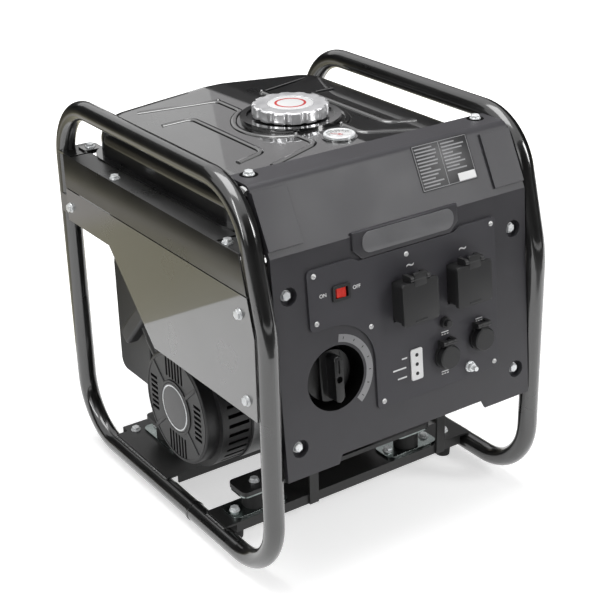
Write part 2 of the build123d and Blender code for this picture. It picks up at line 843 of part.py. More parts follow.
foot = (panel_point(0, panel_foot_v, 0).Y, panel_point(0, panel_foot_v, 0).Z)
bend = (panel_point(0, brow_v, 0).Y, panel_point(0, brow_v, 0).Z)
flange_end = (brow_top_y + brow_flange, brow_top_z)
cup_points = [(side * panel_bolt_u, bolt_v) for side in (-1, 1) for bolt_v in panel_bolt_vs]
brow_bolts = [(-brow_bolt_x, brow_bolt_y), (brow_bolt_x, brow_bolt_y)]
margin_line = [brow_point(1 - brow_share), brow_point(brow_share)]
recess_floor = knob_recess_depth + panel_wall
with BuildPart() as front_panel:
    with BuildSketch(Plane.YZ):
        with BuildLine():
            Polyline(*folded([foot, bend, brow_point(1), flange_end], panel_wall), close=True)
        make_face()
    extrude(amount=panel_half, both=True)
    top_edges = front_panel.edges().filter_by(Axis.X).sort_by_distance((0, brow_top_y, brow_top_z))
    fillet(top_edges[:1], brow_radius)
    inner_top = (0, brow_top_y + panel_wall, brow_top_z - panel_wall)
    inner_edges = front_panel.edges().filter_by(Axis.X).filter_by_position(Axis.Z, 0, inner_top[2])
    fillet(inner_edges.sort_by_distance(inner_top)[:1], brow_radius - panel_wall)
    for side in (-1, 1):
        with BuildSketch(Plane.YZ.offset(side * panel_half)):
            with BuildLine():
                Polyline(*folded([foot, bend, brow_point(brow_share)], panel_return), close=True)
            make_face()
        extrude(amount=-side * panel_wall)
        with BuildSketch(Plane.YZ.offset(side * panel_half)):
            with BuildLine():
                Polyline(*folded(margin_line, -brow_field_depth), close=True)
            make_face()
        extrude(amount=-side * (panel_half - brow_field_half))
    with BuildSketch(panel_plane.offset(-panel_wall)):
        with Locations(*cup_points):
            Circle(panel_cup_dia / 2 + sheet)
    extrude(amount=-panel_cup_depth)
    with BuildSketch(panel_plane.offset(-panel_wall)):
        with Locations((knob_u, knob_v)):
            Circle(knob_recess_dia / 2 + panel_wall)
    extrude(amount=-knob_recess_depth)
    with BuildSketch(panel_plane):
        with Locations(*cup_points):
            Circle(panel_cup_dia / 2)
    extrude(amount=-panel_cup_depth, mode=Mode.SUBTRACT)
    with BuildSketch(panel_plane):
        with Locations(*cup_points):
            Circle(bolt_hole_dia / 2)
    extrude(amount=-panel_cup_depth - 2 * panel_wall, mode=Mode.SUBTRACT)
    with BuildSketch(panel_plane):
        with Locations((knob_u, knob_v)):
            Circle(knob_recess_dia / 2)
    extrude(amount=-knob_recess_depth, mode=Mode.SUBTRACT)
    with BuildSketch(panel_plane):
        with Locations((knob_u, knob_v)):
            Circle(spindle_dia / 2 + clearance)
    extrude(amount=-recess_floor - panel_wall, mode=Mode.SUBTRACT)
    with BuildSketch(panel_plane):
        with Locations(((window_left + window_right) / 2, (window_low + window_high) / 2)):
            Rectangle(window_right - window_left, window_high - window_low)
        with Locations((rocker_u, rocker_v)):
            Rectangle(bezel_window, bezel_window)
        with Locations((ground_u, ground_v)):
            Circle(ground_hole_dia / 2)
        with Locations(*plate_screw_points):
            Circle(screw_shank_dia / 2 + clearance / 2)
        with BuildLine():
            Polyline(
                (-panel_notch_half - panel_return, panel_foot_v - panel_wall),
                (-panel_notch_half, panel_notch_v),
                (panel_notch_half, panel_notch_v),
                (panel_notch_half + panel_return, panel_foot_v - panel_wall),
                close=True,
            )
        make_face()
    extrude(amount=2 * panel_wall, both=True, mode=Mode.SUBTRACT)
    with BuildSketch(Plane.XY.offset(brow_top_z)):
        with Locations(*brow_bolts):
            Circle(bolt_hole_dia / 2)
    extrude(amount=-2 * panel_wall, mode=Mode.SUBTRACT)
save(front_panel, "front_panel")

# Control plate: flat, cut round the knob's recess, with the openings of everything it carries
plate_arc = plate_inner - knob_arc_u
plate_step = knob_arc_v + plate_arc
plate_ramp = 2 * (plate_top - plate_dip)
rocker_radius = rocker_length / 2
bezel_length = rocker_length + 2 * (clearance + bezel_wall)
bezel_width = rocker_width + 2 * (clearance + bezel_wall)
with BuildPart() as control_plate:
    with BuildSketch(panel_plane) as plate_face:
        with BuildLine():
            Polyline(
                (knob_arc_u, plate_step),
                (plate_left, plate_step),
                (plate_left, plate_top),
                (-plate_dip_half - plate_ramp, plate_top),
                (-plate_dip_half, plate_dip),
                (plate_dip_half, plate_dip),
                (plate_dip_half + plate_ramp, plate_top),
                (plate_right, plate_top),
                (plate_right, plate_low),
                (plate_inner, plate_low),
                (plate_inner, knob_arc_v),
            )
            CenterArc((knob_arc_u, knob_arc_v), plate_arc, 0, 90)
        make_face()
        fillet(plate_face.vertices().group_by(Axis.X)[0], plate_corner)
        fillet(plate_face.vertices().group_by(Axis.X)[-1], plate_corner)
        fillet(plate_face.vertices().sort_by_distance((plate_inner, plate_low))[:1], plate_corner)
        with Locations((rocker_u, rocker_v)):
            Rectangle(bezel_length + clearance, bezel_width + clearance, mode=Mode.SUBTRACT)
        with Locations(*[(outlet_u, outlet_v) for outlet_u in outlet_us]):
            Rectangle(outlet_size + clearance, outlet_size + clearance, mode=Mode.SUBTRACT)
        with Locations((breaker_u, breaker_v)):
            Circle(breaker_barrel_dia / 2 + clearance, mode=Mode.SUBTRACT)
        with Locations(*round_sockets.values()):
            Circle(round_barrel_dia / 2 + clearance, mode=Mode.SUBTRACT)
        with Locations((ground_u, ground_v)):
            Circle(bolt_hole_dia / 2, mode=Mode.SUBTRACT)
        with Locations(*plate_screw_points):
            Circle(screw_shank_dia / 2 + clearance / 2, mode=Mode.SUBTRACT)
    extrude(amount=plate)
save(control_plate, "control_plate")

plate_plane = panel_plane.offset(plate)
with BuildPart() as plate_screws:
    with BuildSketch(plate_plane):
        with Locations(*plate_screw_points):
            Circle(plate_screw_dia / 2)
    extrude(amount=plate_screw_head, taper=screw_taper)
    with BuildSketch(plate_plane):
        with Locations(*plate_screw_points):
            Circle(screw_shank_dia / 2)
    extrude(amount=-plate - 2 * panel_wall)
save(plate_screws, "plate_screws")

# Rotary knob in its recess, turning the fuel valve behind the panel
knob_seat = clearance - knob_recess_depth
knob_plane = panel_plane.offset(knob_seat)
with BuildPart() as rotary_knob:
    with BuildSketch(knob_plane):
        with Locations((knob_u, knob_v)):
            Circle(knob_dia / 2)
    extrude(amount=knob_skirt, taper=foot_taper)
    with BuildSketch(knob_plane):
        with Locations((knob_u, knob_v)):
            RectangleRounded(knob_grip_width, knob_grip_length, knob_grip_width / 3)
    extrude(amount=knob_proud - knob_seat)
    grip_face = rotary_knob.faces().sort_by_distance(panel_point(knob_u, knob_v, knob_proud))[0]
    fillet(grip_face.edges(), knob_edge)
    with BuildSketch(knob_plane):
        with Locations((knob_u, knob_v)):
            Circle(spindle_dia / 2)
    extrude(amount=-spindle_length)
save(rotary_knob, "rotary_knob")

valve_back = recess_floor + valve_depth
valve_axis = Vector(*panel_point(knob_u, knob_v, -recess_floor - valve_depth / 2))
valve_up = Plane(origin=valve_axis, x_dir=(1, 0, 0), z_dir=panel_plane.y_dir)
with BuildPart() as fuel_valve:
    with BuildSketch(panel_plane.offset(-recess_floor)):
        with Locations((knob_u, knob_v)):
            Circle(valve_dia / 2)
    extrude(amount=-valve_depth)
    with BuildSketch(panel_plane.offset(-recess_floor)):
        with Locations((knob_u, knob_v)):
            Circle(spindle_dia / 2 + running_fit)
    extrude(amount=knob_seat - spindle_length + recess_floor - clearance, mode=Mode.SUBTRACT)
    with BuildSketch(panel_plane.offset(-valve_back)):
        with Locations((knob_u, knob_v)):
            Circle(nipple_dia / 2)
    extrude(amount=-nipple_length)
    with BuildSketch(valve_up.offset(valve_dia / 2 - sheet)):
        Circle(nipple_dia / 2)
    extrude(amount=nipple_length + sheet)
save(fuel_valve, "fuel_valve")

# Rocker switch: a bezel let into the plate, and a rocker on an axis across it
rocker_pivot = panel_point(rocker_u, rocker_v, rocker_pivot_off)
with BuildPart() as rocker_bezel:
    with BuildSketch(panel_plane.offset(plate)):
        with Locations((rocker_u, rocker_v)):
            RectangleRounded(bezel_length + 2 * bezel_border, bezel_width + 2 * bezel_border, bezel_border)
    extrude(amount=bezel_border)
    with BuildSketch(panel_plane.offset(plate)):
        with Locations((rocker_u, rocker_v)):
            Rectangle(bezel_length, bezel_width)
    extrude(amount=-bezel_depth)
    with BuildSketch(panel_plane.offset(plate + bezel_border)):
        with Locations((rocker_u, rocker_v)):
            Rectangle(bezel_length - 2 * bezel_wall, bezel_width - 2 * bezel_wall)
    extrude(amount=bezel_wall - bezel_depth - bezel_border, mode=Mode.SUBTRACT)
save(rocker_bezel, "rocker_bezel")

tilt_in = sin(radians(rocker_tilt))
tilt_across = cos(radians(rocker_tilt))
rocker_x = panel_plane.x_dir * tilt_across + panel_plane.z_dir * tilt_in
rocker_plane = Plane(origin=rocker_pivot, x_dir=rocker_x, z_dir=panel_plane.y_dir)
rocker_rise = rocker_radius * tan(radians(rocker_tilt))
with BuildPart() as eco_rocker:
    with BuildSketch(rocker_plane):
        Circle(rocker_radius)
    extrude(amount=rocker_width / 2, both=True)
    with BuildSketch(rocker_plane):
        with BuildLine():
            Polyline(
                (-rocker_length, 0),
                (-rocker_length, -rocker_crest - 2 * rocker_rise),
                (0, -rocker_crest),
                (rocker_length, -rocker_crest - 2 * rocker_rise),
                (rocker_length, 0),
                close=True,
            )
        make_face()
    extrude(amount=rocker_width / 2, both=True, mode=Mode.INTERSECT)
save(eco_rocker, "eco_rocker")


# Sprung covers: two ears and a pin on the fixed side, a knuckle on the cover
def hinge_plane(u, v, off):
    """Plane across the hinge axis, with local x up the panel and local y out of it."""
    return Plane(origin=panel_point(u, v, off), x_dir=panel_plane.y_dir, z_dir=panel_plane.x_dir)


def hinge_ears(u, hinge_v, hinge_off, knuckle, reach, root_off, root_top):
    """Ears that stand on a body below, with the pin between them."""
    knuckle_r = hinge_knuckle_dia / 2
    plane = hinge_plane(u, hinge_v, hinge_off)
    with BuildPart() as ears:
        for side in (-1, 1):
            with BuildSketch(plane.offset(side * (knuckle / 2 + clearance))):
                Circle(knuckle_r)
                with Locations((0, (root_off - hinge_off) / 2)):
                    Rectangle(hinge_knuckle_dia, hinge_off - root_off)
                with Locations(((knuckle_r - reach) / 2, (root_off + root_top) / 2 - hinge_off)):
                    Rectangle(knuckle_r + reach, root_top - root_off)
            extrude(amount=side * hinge_ear)
        with BuildSketch(plane):
            Circle(hinge_pin_dia / 2)
        extrude(amount=knuckle / 2 + clearance + hinge_ear / 2, both=True)
    return ears


def hinge_strap(u, hinge_v, hinge_off, knuckle, reach):
    """Knuckle of a cover with the strap that joins it to the cover's edge."""
    with BuildPart() as strap:
        with BuildSketch(hinge_plane(u, hinge_v, hinge_off)):
            Circle(hinge_knuckle_dia / 2)
            with Locations((-reach / 2, 0)):
                Rectangle(reach, hinge_knuckle_dia / 2)
            Circle(hinge_pin_dia / 2 + running_fit, mode=Mode.SUBTRACT)
        extrude(amount=knuckle / 2, both=True)
    return strap


# Mains outlets under lids
knuckle_r = hinge_knuckle_dia / 2
lid_off = outlet_proud + clearance
lid_hinge_v = outlet_v + lid_height / 2 + clearance + knuckle_r
lid_hinge_off = lid_off + lid_thickness / 2
lid_reach = lid_hinge_v - outlet_v - lid_height / 2 + lid_thickness
ear_reach = lid_hinge_v - outlet_v - outlet_size / 2 + sheet
pin_points = [(outlet_u + dx, outlet_v + dv) for outlet_u in outlet_us for dx, dv in outlet_pins]
outlet_points = [(outlet_u, outlet_v) for outlet_u in outlet_us]
with BuildPart() as outlet_bodies:
    with BuildSketch(panel_plane.offset(-outlet_depth)):
        with Locations(*outlet_points):
            RectangleRounded(outlet_size, outlet_size, outlet_corner)
    extrude(amount=outlet_depth + outlet_proud)
    for outlet_u in outlet_us:
        lid_hinge = (outlet_u, lid_hinge_v, lid_hinge_off, hinge_knuckle)
        add(hinge_ears(*lid_hinge, ear_reach, ear_root, outlet_proud).part)
    with BuildSketch(panel_plane.offset(outlet_proud)):
        with Locations(*outlet_points):
            Circle(outlet_well_dia / 2)
    extrude(amount=-outlet_well_depth, mode=Mode.SUBTRACT)
    with BuildSketch(panel_plane.offset(outlet_proud)):
        with Locations(*pin_points):
            Circle(outlet_pin_dia / 2)
    extrude(amount=-2 * outlet_well_depth, mode=Mode.SUBTRACT)
save(outlet_bodies, "outlet_bodies")

for outlet_u, lid_name in zip(outlet_us, ("outlet_lid_left", "outlet_lid_right")):
    with BuildPart() as outlet_lid:
        with BuildSketch(panel_plane.offset(lid_off)):
            with Locations((outlet_u, outlet_v)):
                RectangleRounded(lid_width, lid_height, outlet_corner)
        extrude(amount=lid_thickness)
        lid_top = outlet_lid.faces().sort_by_distance(panel_point(outlet_u, outlet_v, outlet_size))[0]
        chamfer(lid_top.edges(), lid_edge)
        add(hinge_strap(outlet_u, lid_hinge_v, lid_hinge_off, hinge_knuckle, lid_reach).part)
    save(outlet_lid, lid_name)

# Direct-current and charging sockets under round caps
cap_off = plate + round_flange + clearance
cap_hinge_off = cap_off + round_cap / 2
for socket_name, (socket_u, socket_v) in round_sockets.items():
    socket_hinge_v = socket_v + round_cap_dia / 2 + clearance + knuckle_r
    socket_reach = socket_hinge_v - socket_v - round_cap_dia / 2 + lid_thickness
    with BuildPart() as round_socket:
        with BuildSketch(plate_plane):
            with Locations((socket_u, socket_v)):
                Circle(round_flange_dia / 2)
        extrude(amount=round_flange)
        with BuildSketch(plate_plane):
            with Locations((socket_u, socket_v)):
                Circle(round_barrel_dia / 2)
        extrude(amount=-round_depth)
        cap_hinge = (socket_u, socket_hinge_v, cap_hinge_off, round_knuckle)
        add(hinge_ears(*cap_hinge, round_flange_dia / 3, plate, plate + round_flange).part)
        with BuildSketch(panel_plane.offset(plate + round_flange)):
            with Locations((socket_u, socket_v)):
                Circle(round_well_dia / 2)
        extrude(amount=-round_well_depth, mode=Mode.SUBTRACT)
    save(round_socket, socket_name)
    with BuildPart() as socket_cap:
        with BuildSketch(panel_plane.offset(cap_off)):
            with Locations((socket_u, socket_v)):
                Circle(round_cap_dia / 2)
        extrude(amount=round_cap)
        cap_top = socket_cap.faces().sort_by_distance(panel_point(socket_u, socket_v, outlet_size))[0]
        chamfer(cap_top.edges(), lid_edge)
        add(hinge_strap(socket_u, socket_hinge_v, cap_hinge_off, round_knuckle, socket_reach).part)
    save(socket_cap, f"{socket_name}_cap")

# Lamp strip, circuit breaker and ground terminal
with BuildPart() as indicator_strip:
    with BuildSketch(plate_plane):
        with Locations((strip_u, strip_v)):
            RectangleRounded(strip_width, strip_height, plate)
    extrude(amount=strip_thickness)
    with BuildSketch(panel_plane.offset(plate + strip_thickness)):
        with Locations((strip_u, strip_v)):
            with GridLocations(0, lamp_pitch, 1, 3):
                Circle(lamp_dia / 2)
    extrude(amount=strip_thickness / 2, taper=screw_taper)
save(indicator_strip, "indicator_strip")

breaker_bore_depth = breaker_stem + breaker_travel + clearance
with BuildPart() as breaker_body:
    with BuildSketch(plate_plane):
        with Locations((breaker_u, breaker_v)):
            Circle(breaker_collar_dia / 2)
    extrude(amount=breaker_collar)
    with BuildSketch(plate_plane):
        with Locations((breaker_u, breaker_v)):
            Circle(breaker_barrel_dia / 2)
    extrude(amount=-breaker_depth)
    with BuildSketch(plate_plane.offset(breaker_collar)):
        with Locations((breaker_u, breaker_v)):
            Circle(breaker_dia / 2 + running_fit)
    extrude(amount=-breaker_bore_depth, mode=Mode.SUBTRACT)
save(breaker_body, "breaker_body")

with BuildPart() as breaker_button:
    with BuildSketch(plate_plane.offset(breaker_collar - breaker_stem)):
        with Locations((breaker_u, breaker_v)):
            Circle(breaker_dia / 2)
    extrude(amount=breaker_stem + breaker_proud)
    button_top = breaker_button.faces().sort_by_distance(panel_point(breaker_u, breaker_v, outlet_size))[0]
    fillet(button_top.edges(), strip_thickness)
save(breaker_button, "breaker_button")

with BuildPart() as ground_terminal:
    with BuildSketch(plate_plane):
        with Locations((ground_u, ground_v)):
            Circle(bolt_flange_dia / 2)
    extrude(amount=bolt_flange)
    with BuildSketch(plate_plane):
        with Locations((ground_u, ground_v)):
            RegularPolygon(bolt_head_across / 2, 6, major_radius=False)
    extrude(amount=bolt_flange + bolt_head)
    with BuildSketch(plate_plane):
        with Locations((ground_u, ground_v)):
            Circle(bolt_dia / 2)
    extrude(amount=ground_length)
    with BuildSketch(plate_plane):
        with Locations((ground_u, ground_v)):
            Circle(bolt_dia / 2)
    extrude(amount=-ground_length)
save(ground_terminal, "ground_terminal")

# Inverter module: a finned casting on the two uprights
module_back_y = upright_back_y - plate_steel
module_middle_x = (module_left + module_right) / 2
module_middle_z = (module_low_z + module_high_z) / 2
fin_pitch = (module_right - module_left - module_fin) / (module_fins - 1)
with BuildPart() as inverter_module:
    with BuildSketch(Plane.XZ.offset(-module_back_y)):
        with Locations((module_middle_x, module_middle_z)):
            Rectangle(module_right - module_left, module_high_z - module_low_z)
    extrude(amount=module_depth - module_fin_depth)
    with BuildSketch(Plane.XZ.offset(-module_back_y)):
        with Locations((module_middle_x, module_middle_z)):
            with GridLocations(fin_pitch, 0, module_fins, 1):
                Rectangle(module_fin, module_high_z - module_low_z)
    extrude(amount=module_depth)
save(inverter_module, "inverter_module")

# Crankcase with its sump, the cylinder's pad, the alternator's boss and the oil filler
filler_origin = (filler_x, crank_y - case_base_half, filler_z)
filler_axis = (0, -cos(radians(filler_tilt)), sin(radians(filler_tilt)))
filler_plane = Plane(origin=filler_origin, x_dir=(1, 0, 0), z_dir=filler_axis)


def case_outline(shrink, low_z):
    """Crankcase section: a circle about the shaft on a block that stands on the engine base."""
    with BuildSketch() as outline:
        Circle(case_radius - shrink)
        with Locations((0, (low_z - crank_z) / 2)):
            Rectangle(2 * (case_base_half - shrink), crank_z - low_z)
    return outline.sketch


with BuildPart() as crankcase:
    with BuildSketch(crank_plane.offset(case_left)):
        add(case_outline(0, engine_floor_z))
    extrude(amount=case_right - case_left)
    with BuildSketch(bore_plane):
        Rectangle(fin_width, fin_height)
    extrude(amount=barrel_start)
    with BuildSketch(crank_plane.offset(case_left)):
        Circle(boss_dia / 2)
    extrude(amount=-boss_length)
    with BuildSketch(filler_plane):
        Circle(filler_dia / 2)
    extrude(amount=filler_length)
    with BuildSketch(filler_plane):
        Circle(filler_dia / 2)
    extrude(amount=-case_wall)
    with BuildSketch(crank_plane.offset(case_left + case_wall)):
        add(case_outline(case_wall, engine_floor_z + case_wall))
    extrude(amount=case_right - case_left, mode=Mode.SUBTRACT)
    with BuildSketch(bore_plane.offset(barrel_start)):
        Rectangle(fin_width, 2 * fin_height)
    extrude(amount=case_radius, mode=Mode.SUBTRACT)
    with BuildSketch(bore_plane):
        Circle(cylinder_bore / 2)
    extrude(amount=barrel_end, mode=Mode.SUBTRACT)
    with BuildSketch(crank_plane.offset(case_left - boss_length)):
        Circle(journal_dia / 2 + running_fit)
    extrude(amount=boss_length + 2 * case_wall, mode=Mode.SUBTRACT)
    with BuildSketch(filler_plane.offset(filler_length)):
        Circle(plug_bore / 2)
    extrude(amount=-filler_length - 2 * case_wall, mode=Mode.SUBTRACT)
save(crankcase, "crankcase")

with BuildPart() as crankcase_cover:
    with BuildSketch(crank_plane.offset(case_right)):
        add(case_outline(0, engine_floor_z))
    extrude(amount=case_cover)
    fillet(crankcase_cover.faces().sort_by(Axis.X)[-1].edges(), case_wall / 2)
    with BuildSketch(crank_plane.offset(case_right)):
        Circle(journal_dia / 2 + running_fit)
    extrude(amount=journal_end + clearance, mode=Mode.SUBTRACT)
save(crankcase_cover, "crankcase_cover")

with BuildPart() as oil_dipstick:
    with BuildSketch(filler_plane.offset(filler_length + clearance)):
        Circle(filler_dia / 2)
        with PolarLocations(filler_dia / 2, cap_scallops):
            Circle(bolt_flange, mode=Mode.SUBTRACT)
    extrude(amount=case_wall)
    with BuildSketch(filler_plane.offset(filler_length + clearance)):
        Circle(plug_bore / 2 - running_fit)
    extrude(amount=-filler_length)
    with BuildSketch(filler_plane.offset(filler_length)):
        Circle(dipstick_dia / 2)
    extrude(amount=-filler_length - dipstick_length)
save(oil_dipstick, "oil_dipstick")

# Crankshaft: journals, two webs and the pin between them
web_gap = crank_pin_length / 2
with BuildPart() as crankshaft:
    with BuildSketch(crank_plane.offset(shaft_left)):
        Circle(journal_dia / 2)
    extrude(amount=-web_gap - shaft_left)
    with BuildSketch(crank_plane.offset(web_gap)):
        Circle(journal_dia / 2)
    extrude(amount=case_right + journal_end - web_gap)
    for web_x in (-web_gap - web_thickness, web_gap):
        with BuildSketch(crank_plane.offset(web_x)):
            Circle(web_radius)
        extrude(amount=web_thickness)
    with BuildSketch(crank_plane.offset(-web_gap)):
        with Locations((crank_throw, 0)):
            Circle(crank_pin_dia / 2)
    extrude(amount=crank_pin_length)
save(crankshaft, "crankshaft")

# Finned cylinder, head, rocker cover and spark plug, along the leaning bore
barrel_fin_step = (barrel_end - barrel_start - fin_thickness) / fin_count
with BuildPart() as cylinder:
    with BuildSketch(bore_plane.offset(barrel_start)):
        Circle(barrel_dia / 2)
    extrude(amount=barrel_end - barrel_start)
    for index in range(fin_count):
        with BuildSketch(bore_plane.offset(barrel_start + (index + 0.5) * barrel_fin_step)):
            RectangleRounded(fin_width, fin_height, plate_corner)
        extrude(amount=fin_thickness)
    with BuildSketch(bore_plane.offset(barrel_start)):
        Circle(cylinder_bore / 2)
    extrude(amount=barrel_end - barrel_start, mode=Mode.SUBTRACT)
save(cylinder, "cylinder")

head_end = barrel_end + head_length
head_middle = barrel_end + head_length / 2
head_fin_step = (head_length - fin_thickness) / (head_fins - 1)
head_y = crank_y + head_middle * bore_direction[1]
head_z = crank_z + head_middle * bore_direction[2]
plug_plane = Plane(origin=(0, head_y, head_z), x_dir=(1, 0, 0), z_dir=-bore_plane.y_dir)
head_plane = Plane(origin=(0, head_y, head_z), x_dir=(0, 1, 0), z_dir=(1, 0, 0))
with BuildPart() as cylinder_head:
    with BuildSketch(bore_plane.offset(barrel_end)):
        Rectangle(fin_width, head_core)
    extrude(amount=head_length)
    for index in range(head_fins):
        with BuildSketch(bore_plane.offset(barrel_end + index * head_fin_step)):
            RectangleRounded(fin_width, fin_height, plate_corner)
        extrude(amount=fin_thickness)
    with BuildSketch(bore_plane.offset(barrel_end)):
        Circle(cylinder_bore / 2)
    extrude(amount=head_length / 3, mode=Mode.SUBTRACT)
    with BuildSketch(plug_plane):
        Circle(plug_dia / 2)
    extrude(amount=fin_height, mode=Mode.SUBTRACT)
    for port_x in (-fin_width / 2, fin_width / 2):
        with BuildSketch(head_plane.offset(port_x)):
            Circle(port_dia / 2)
        extrude(amount=-port_x / 2, mode=Mode.SUBTRACT)
save(cylinder_head, "cylinder_head")

with BuildPart() as rocker_cover:
    with BuildSketch(bore_plane.offset(head_end)):
        RectangleRounded(fin_width - 2 * case_wall, fin_height - 2 * case_wall, case_wall)
    extrude(amount=rocker_cover_length)
    cover_end = rocker_cover.faces().sort_by(Axis((0, 0, 0), bore_direction))[-1]
    fillet(cover_end.edges(), case_wall / 2)
save(rocker_cover, "rocker_cover")

with BuildPart() as spark_plug:
    with BuildSketch(plug_plane.offset(plug_seat)):
        Circle(plug_dia / 2 - running_fit)
    extrude(amount=fin_height / 2 - plug_seat)
    with BuildSketch(plug_plane.offset(fin_height / 2)):
        RegularPolygon(plug_hex / 2, 6, major_radius=False)
    extrude(amount=case_wall)
    with BuildSketch(plug_plane.offset(fin_height / 2 + case_wall)):
        Circle(plug_dia / 2)
    extrude(amount=plug_boot)
    boot_end = spark_plug.faces().sort_by(Axis((0, 0, 0), tuple(plug_plane.z_dir)))[-1]
    fillet(boot_end.edges(), plug_dia / 4)
save(spark_plug, "spark_plug")

# Alternator and cooling fan on the shaft's left end
housing_r = housing_dia / 2
with BuildPart() as stator:
    with BuildSketch(crank_plane.offset(case_left - boss_length)):
        Circle(stator_dia / 2)
        Circle(boss_dia / 2, mode=Mode.SUBTRACT)
        with PolarLocations(stator_slot_r, stator_slots):
            Rectangle(stator_slot, stator_slot / 3, mode=Mode.SUBTRACT)
    extrude(amount=stator_length)
save(stator, "stator")

with BuildPart() as alternator_housing:
    with BuildSketch(crank_plane.offset(housing_left)):
        Circle(housing_r)
        Circle(housing_r - housing_wall, mode=Mode.SUBTRACT)
    extrude(amount=case_left - housing_left)
    with BuildSketch(crank_plane.offset(case_left)):
        Circle(housing_r)
        Circle(boss_dia / 2 + clearance, mode=Mode.SUBTRACT)
    extrude(amount=-housing_wall)
save(alternator_housing, "alternator_housing")

with BuildPart() as flywheel:
    with BuildSketch(crank_plane.offset(flywheel_left)):
        Circle(flywheel_dia / 2)
    extrude(amount=flywheel_web)
    with BuildSketch(crank_plane.offset(flywheel_left)):
        Circle(flywheel_dia / 2)
        Circle(flywheel_dia / 2 - flywheel_rim, mode=Mode.SUBTRACT)
    extrude(amount=flywheel_length)
    with BuildSketch(crank_plane.offset(flywheel_left)):
        Circle(journal_dia / 2)
    extrude(amount=flywheel_length, mode=Mode.SUBTRACT)
save(flywheel, "flywheel")

blade_length = (fan_dia - fan_hub_dia) / 2
with BuildPart() as cooling_fan:
    with BuildSketch(crank_plane.offset(flywheel_left)):
        Circle(fan_dia / 2)
        Circle(journal_dia / 2 + clearance, mode=Mode.SUBTRACT)
    extrude(amount=-fan_disc)
    with BuildSketch(crank_plane.offset(flywheel_left)):
        Circle(fan_hub_dia / 2)
        Circle(fan_hub_dia / 2 - housing_wall, mode=Mode.SUBTRACT)
        with PolarLocations((fan_dia + fan_hub_dia) / 4 - sheet, fan_blades):
            Rectangle(blade_length, sheet, rotation=fan_blade_angle)
    extrude(amount=fan_left - flywheel_left)
save(cooling_fan, "cooling_fan")

fan_housing_r = fan_housing_dia / 2
with BuildPart() as fan_housing:
    with BuildSketch(crank_plane.offset(fan_housing_left)):
        Circle(fan_housing_r)
        Circle(fan_housing_r - housing_wall, mode=Mode.SUBTRACT)
    extrude(amount=housing_left - fan_housing_left)
    with BuildSketch(crank_plane.offset(housing_left)):
        Circle(housing_r)
        Circle(fan_housing_r - housing_wall, mode=Mode.SUBTRACT)
    extrude(amount=-housing_wall)
    with BuildSketch(crank_plane.offset(fan_housing_left + 2 * housing_wall)):
        with PolarLocations(fan_housing_r, fan_slots):
            Rectangle(4 * housing_wall, fan_slot_width)
    extrude(amount=housing_left - fan_housing_left - 4 * housing_wall, mode=Mode.SUBTRACT)
save(fan_housing, "fan_housing")

# Recoil starter: slotted cover with the rope's guide, badge, pulley, rope and handle
rope_origin = (pulley_x, crank_y, crank_z)
rope_plane = Plane(origin=rope_origin, x_dir=(1, 0, 0), z_dir=rope_direction)
recoil_r = recoil_dia / 2
guide_end = recoil_r + guide_reach
recoil_inner_x = recoil_left + recoil_wall
pulley_left = pulley_x - pulley_thickness / 2
pulley_right = pulley_x + pulley_thickness / 2
slot_middle = (recoil_badge_dia / 2 + recoil_r) / 2
slot_length = recoil_r - recoil_badge_dia / 2 - 4 * recoil_wall
with BuildPart() as recoil_cover:
    with BuildSketch(crank_plane.offset(recoil_left)):
        Circle(recoil_r)
    extrude(amount=fan_housing_left - recoil_left)
    fillet(recoil_cover.faces().sort_by(Axis.X)[0].edges(), recoil_wall)
    with BuildSketch(crank_plane.offset(fan_housing_left)):
        Circle(fan_housing_r)
    extrude(amount=-recoil_wall)
    with BuildSketch(rope_plane.offset(recoil_r - 2 * recoil_wall)):
        Circle(guide_dia / 2)
    extrude(amount=guide_reach + 2 * recoil_wall)
    with BuildSketch(crank_plane.offset(recoil_inner_x)):
        Circle(recoil_r - recoil_wall)
        Circle(pulley_post_dia / 2, mode=Mode.SUBTRACT)
    extrude(amount=fan_housing_left - recoil_inner_x, mode=Mode.SUBTRACT)
    with BuildSketch(crank_plane.offset(pulley_right)):
        Circle(recoil_r - recoil_wall)
    extrude(amount=fan_housing_left - pulley_right, mode=Mode.SUBTRACT)
    with BuildSketch(rope_plane.offset(recoil_r / 2)):
        Circle(guide_bore / 2)
    extrude(amount=guide_end, mode=Mode.SUBTRACT)
    with BuildSketch(crank_plane.offset(recoil_left)):
        with PolarLocations(slot_middle, 2, start_angle=90):
            with GridLocations(0, recoil_slot_pitch, 1, recoil_slots):
                SlotOverall(slot_length, recoil_slot_width)
        with PolarLocations(slot_middle, 2):
            with GridLocations(0, recoil_slot_pitch, 1, recoil_holes):
                Rectangle(recoil_hole_length, recoil_slot_width)
    extrude(amount=recoil_wall, mode=Mode.SUBTRACT)
save(recoil_cover, "recoil_cover")

with BuildPart() as recoil_badge_piece:
    with BuildSketch(crank_plane.offset(recoil_left)):
        Circle(recoil_badge_dia / 2)
    extrude(amount=-recoil_badge)
save(recoil_badge_piece, "recoil_badge")

with BuildPart() as recoil_pulley:
    with BuildSketch(crank_plane.offset(pulley_left + clearance)):
        Circle(pulley_dia / 2)
    extrude(amount=pulley_thickness - clearance)
    with BuildSketch(crank_plane.offset(pulley_x - rope_dia / 2)):
        Circle(pulley_dia / 2)
        Circle(pulley_groove_dia / 2, mode=Mode.SUBTRACT)
    extrude(amount=rope_dia, mode=Mode.SUBTRACT)
    with BuildSketch(crank_plane.offset(pulley_left)):
        Circle(pulley_post_dia / 2 + running_fit)
    extrude(amount=pulley_thickness, mode=Mode.SUBTRACT)
save(recoil_pulley, "recoil_pulley")

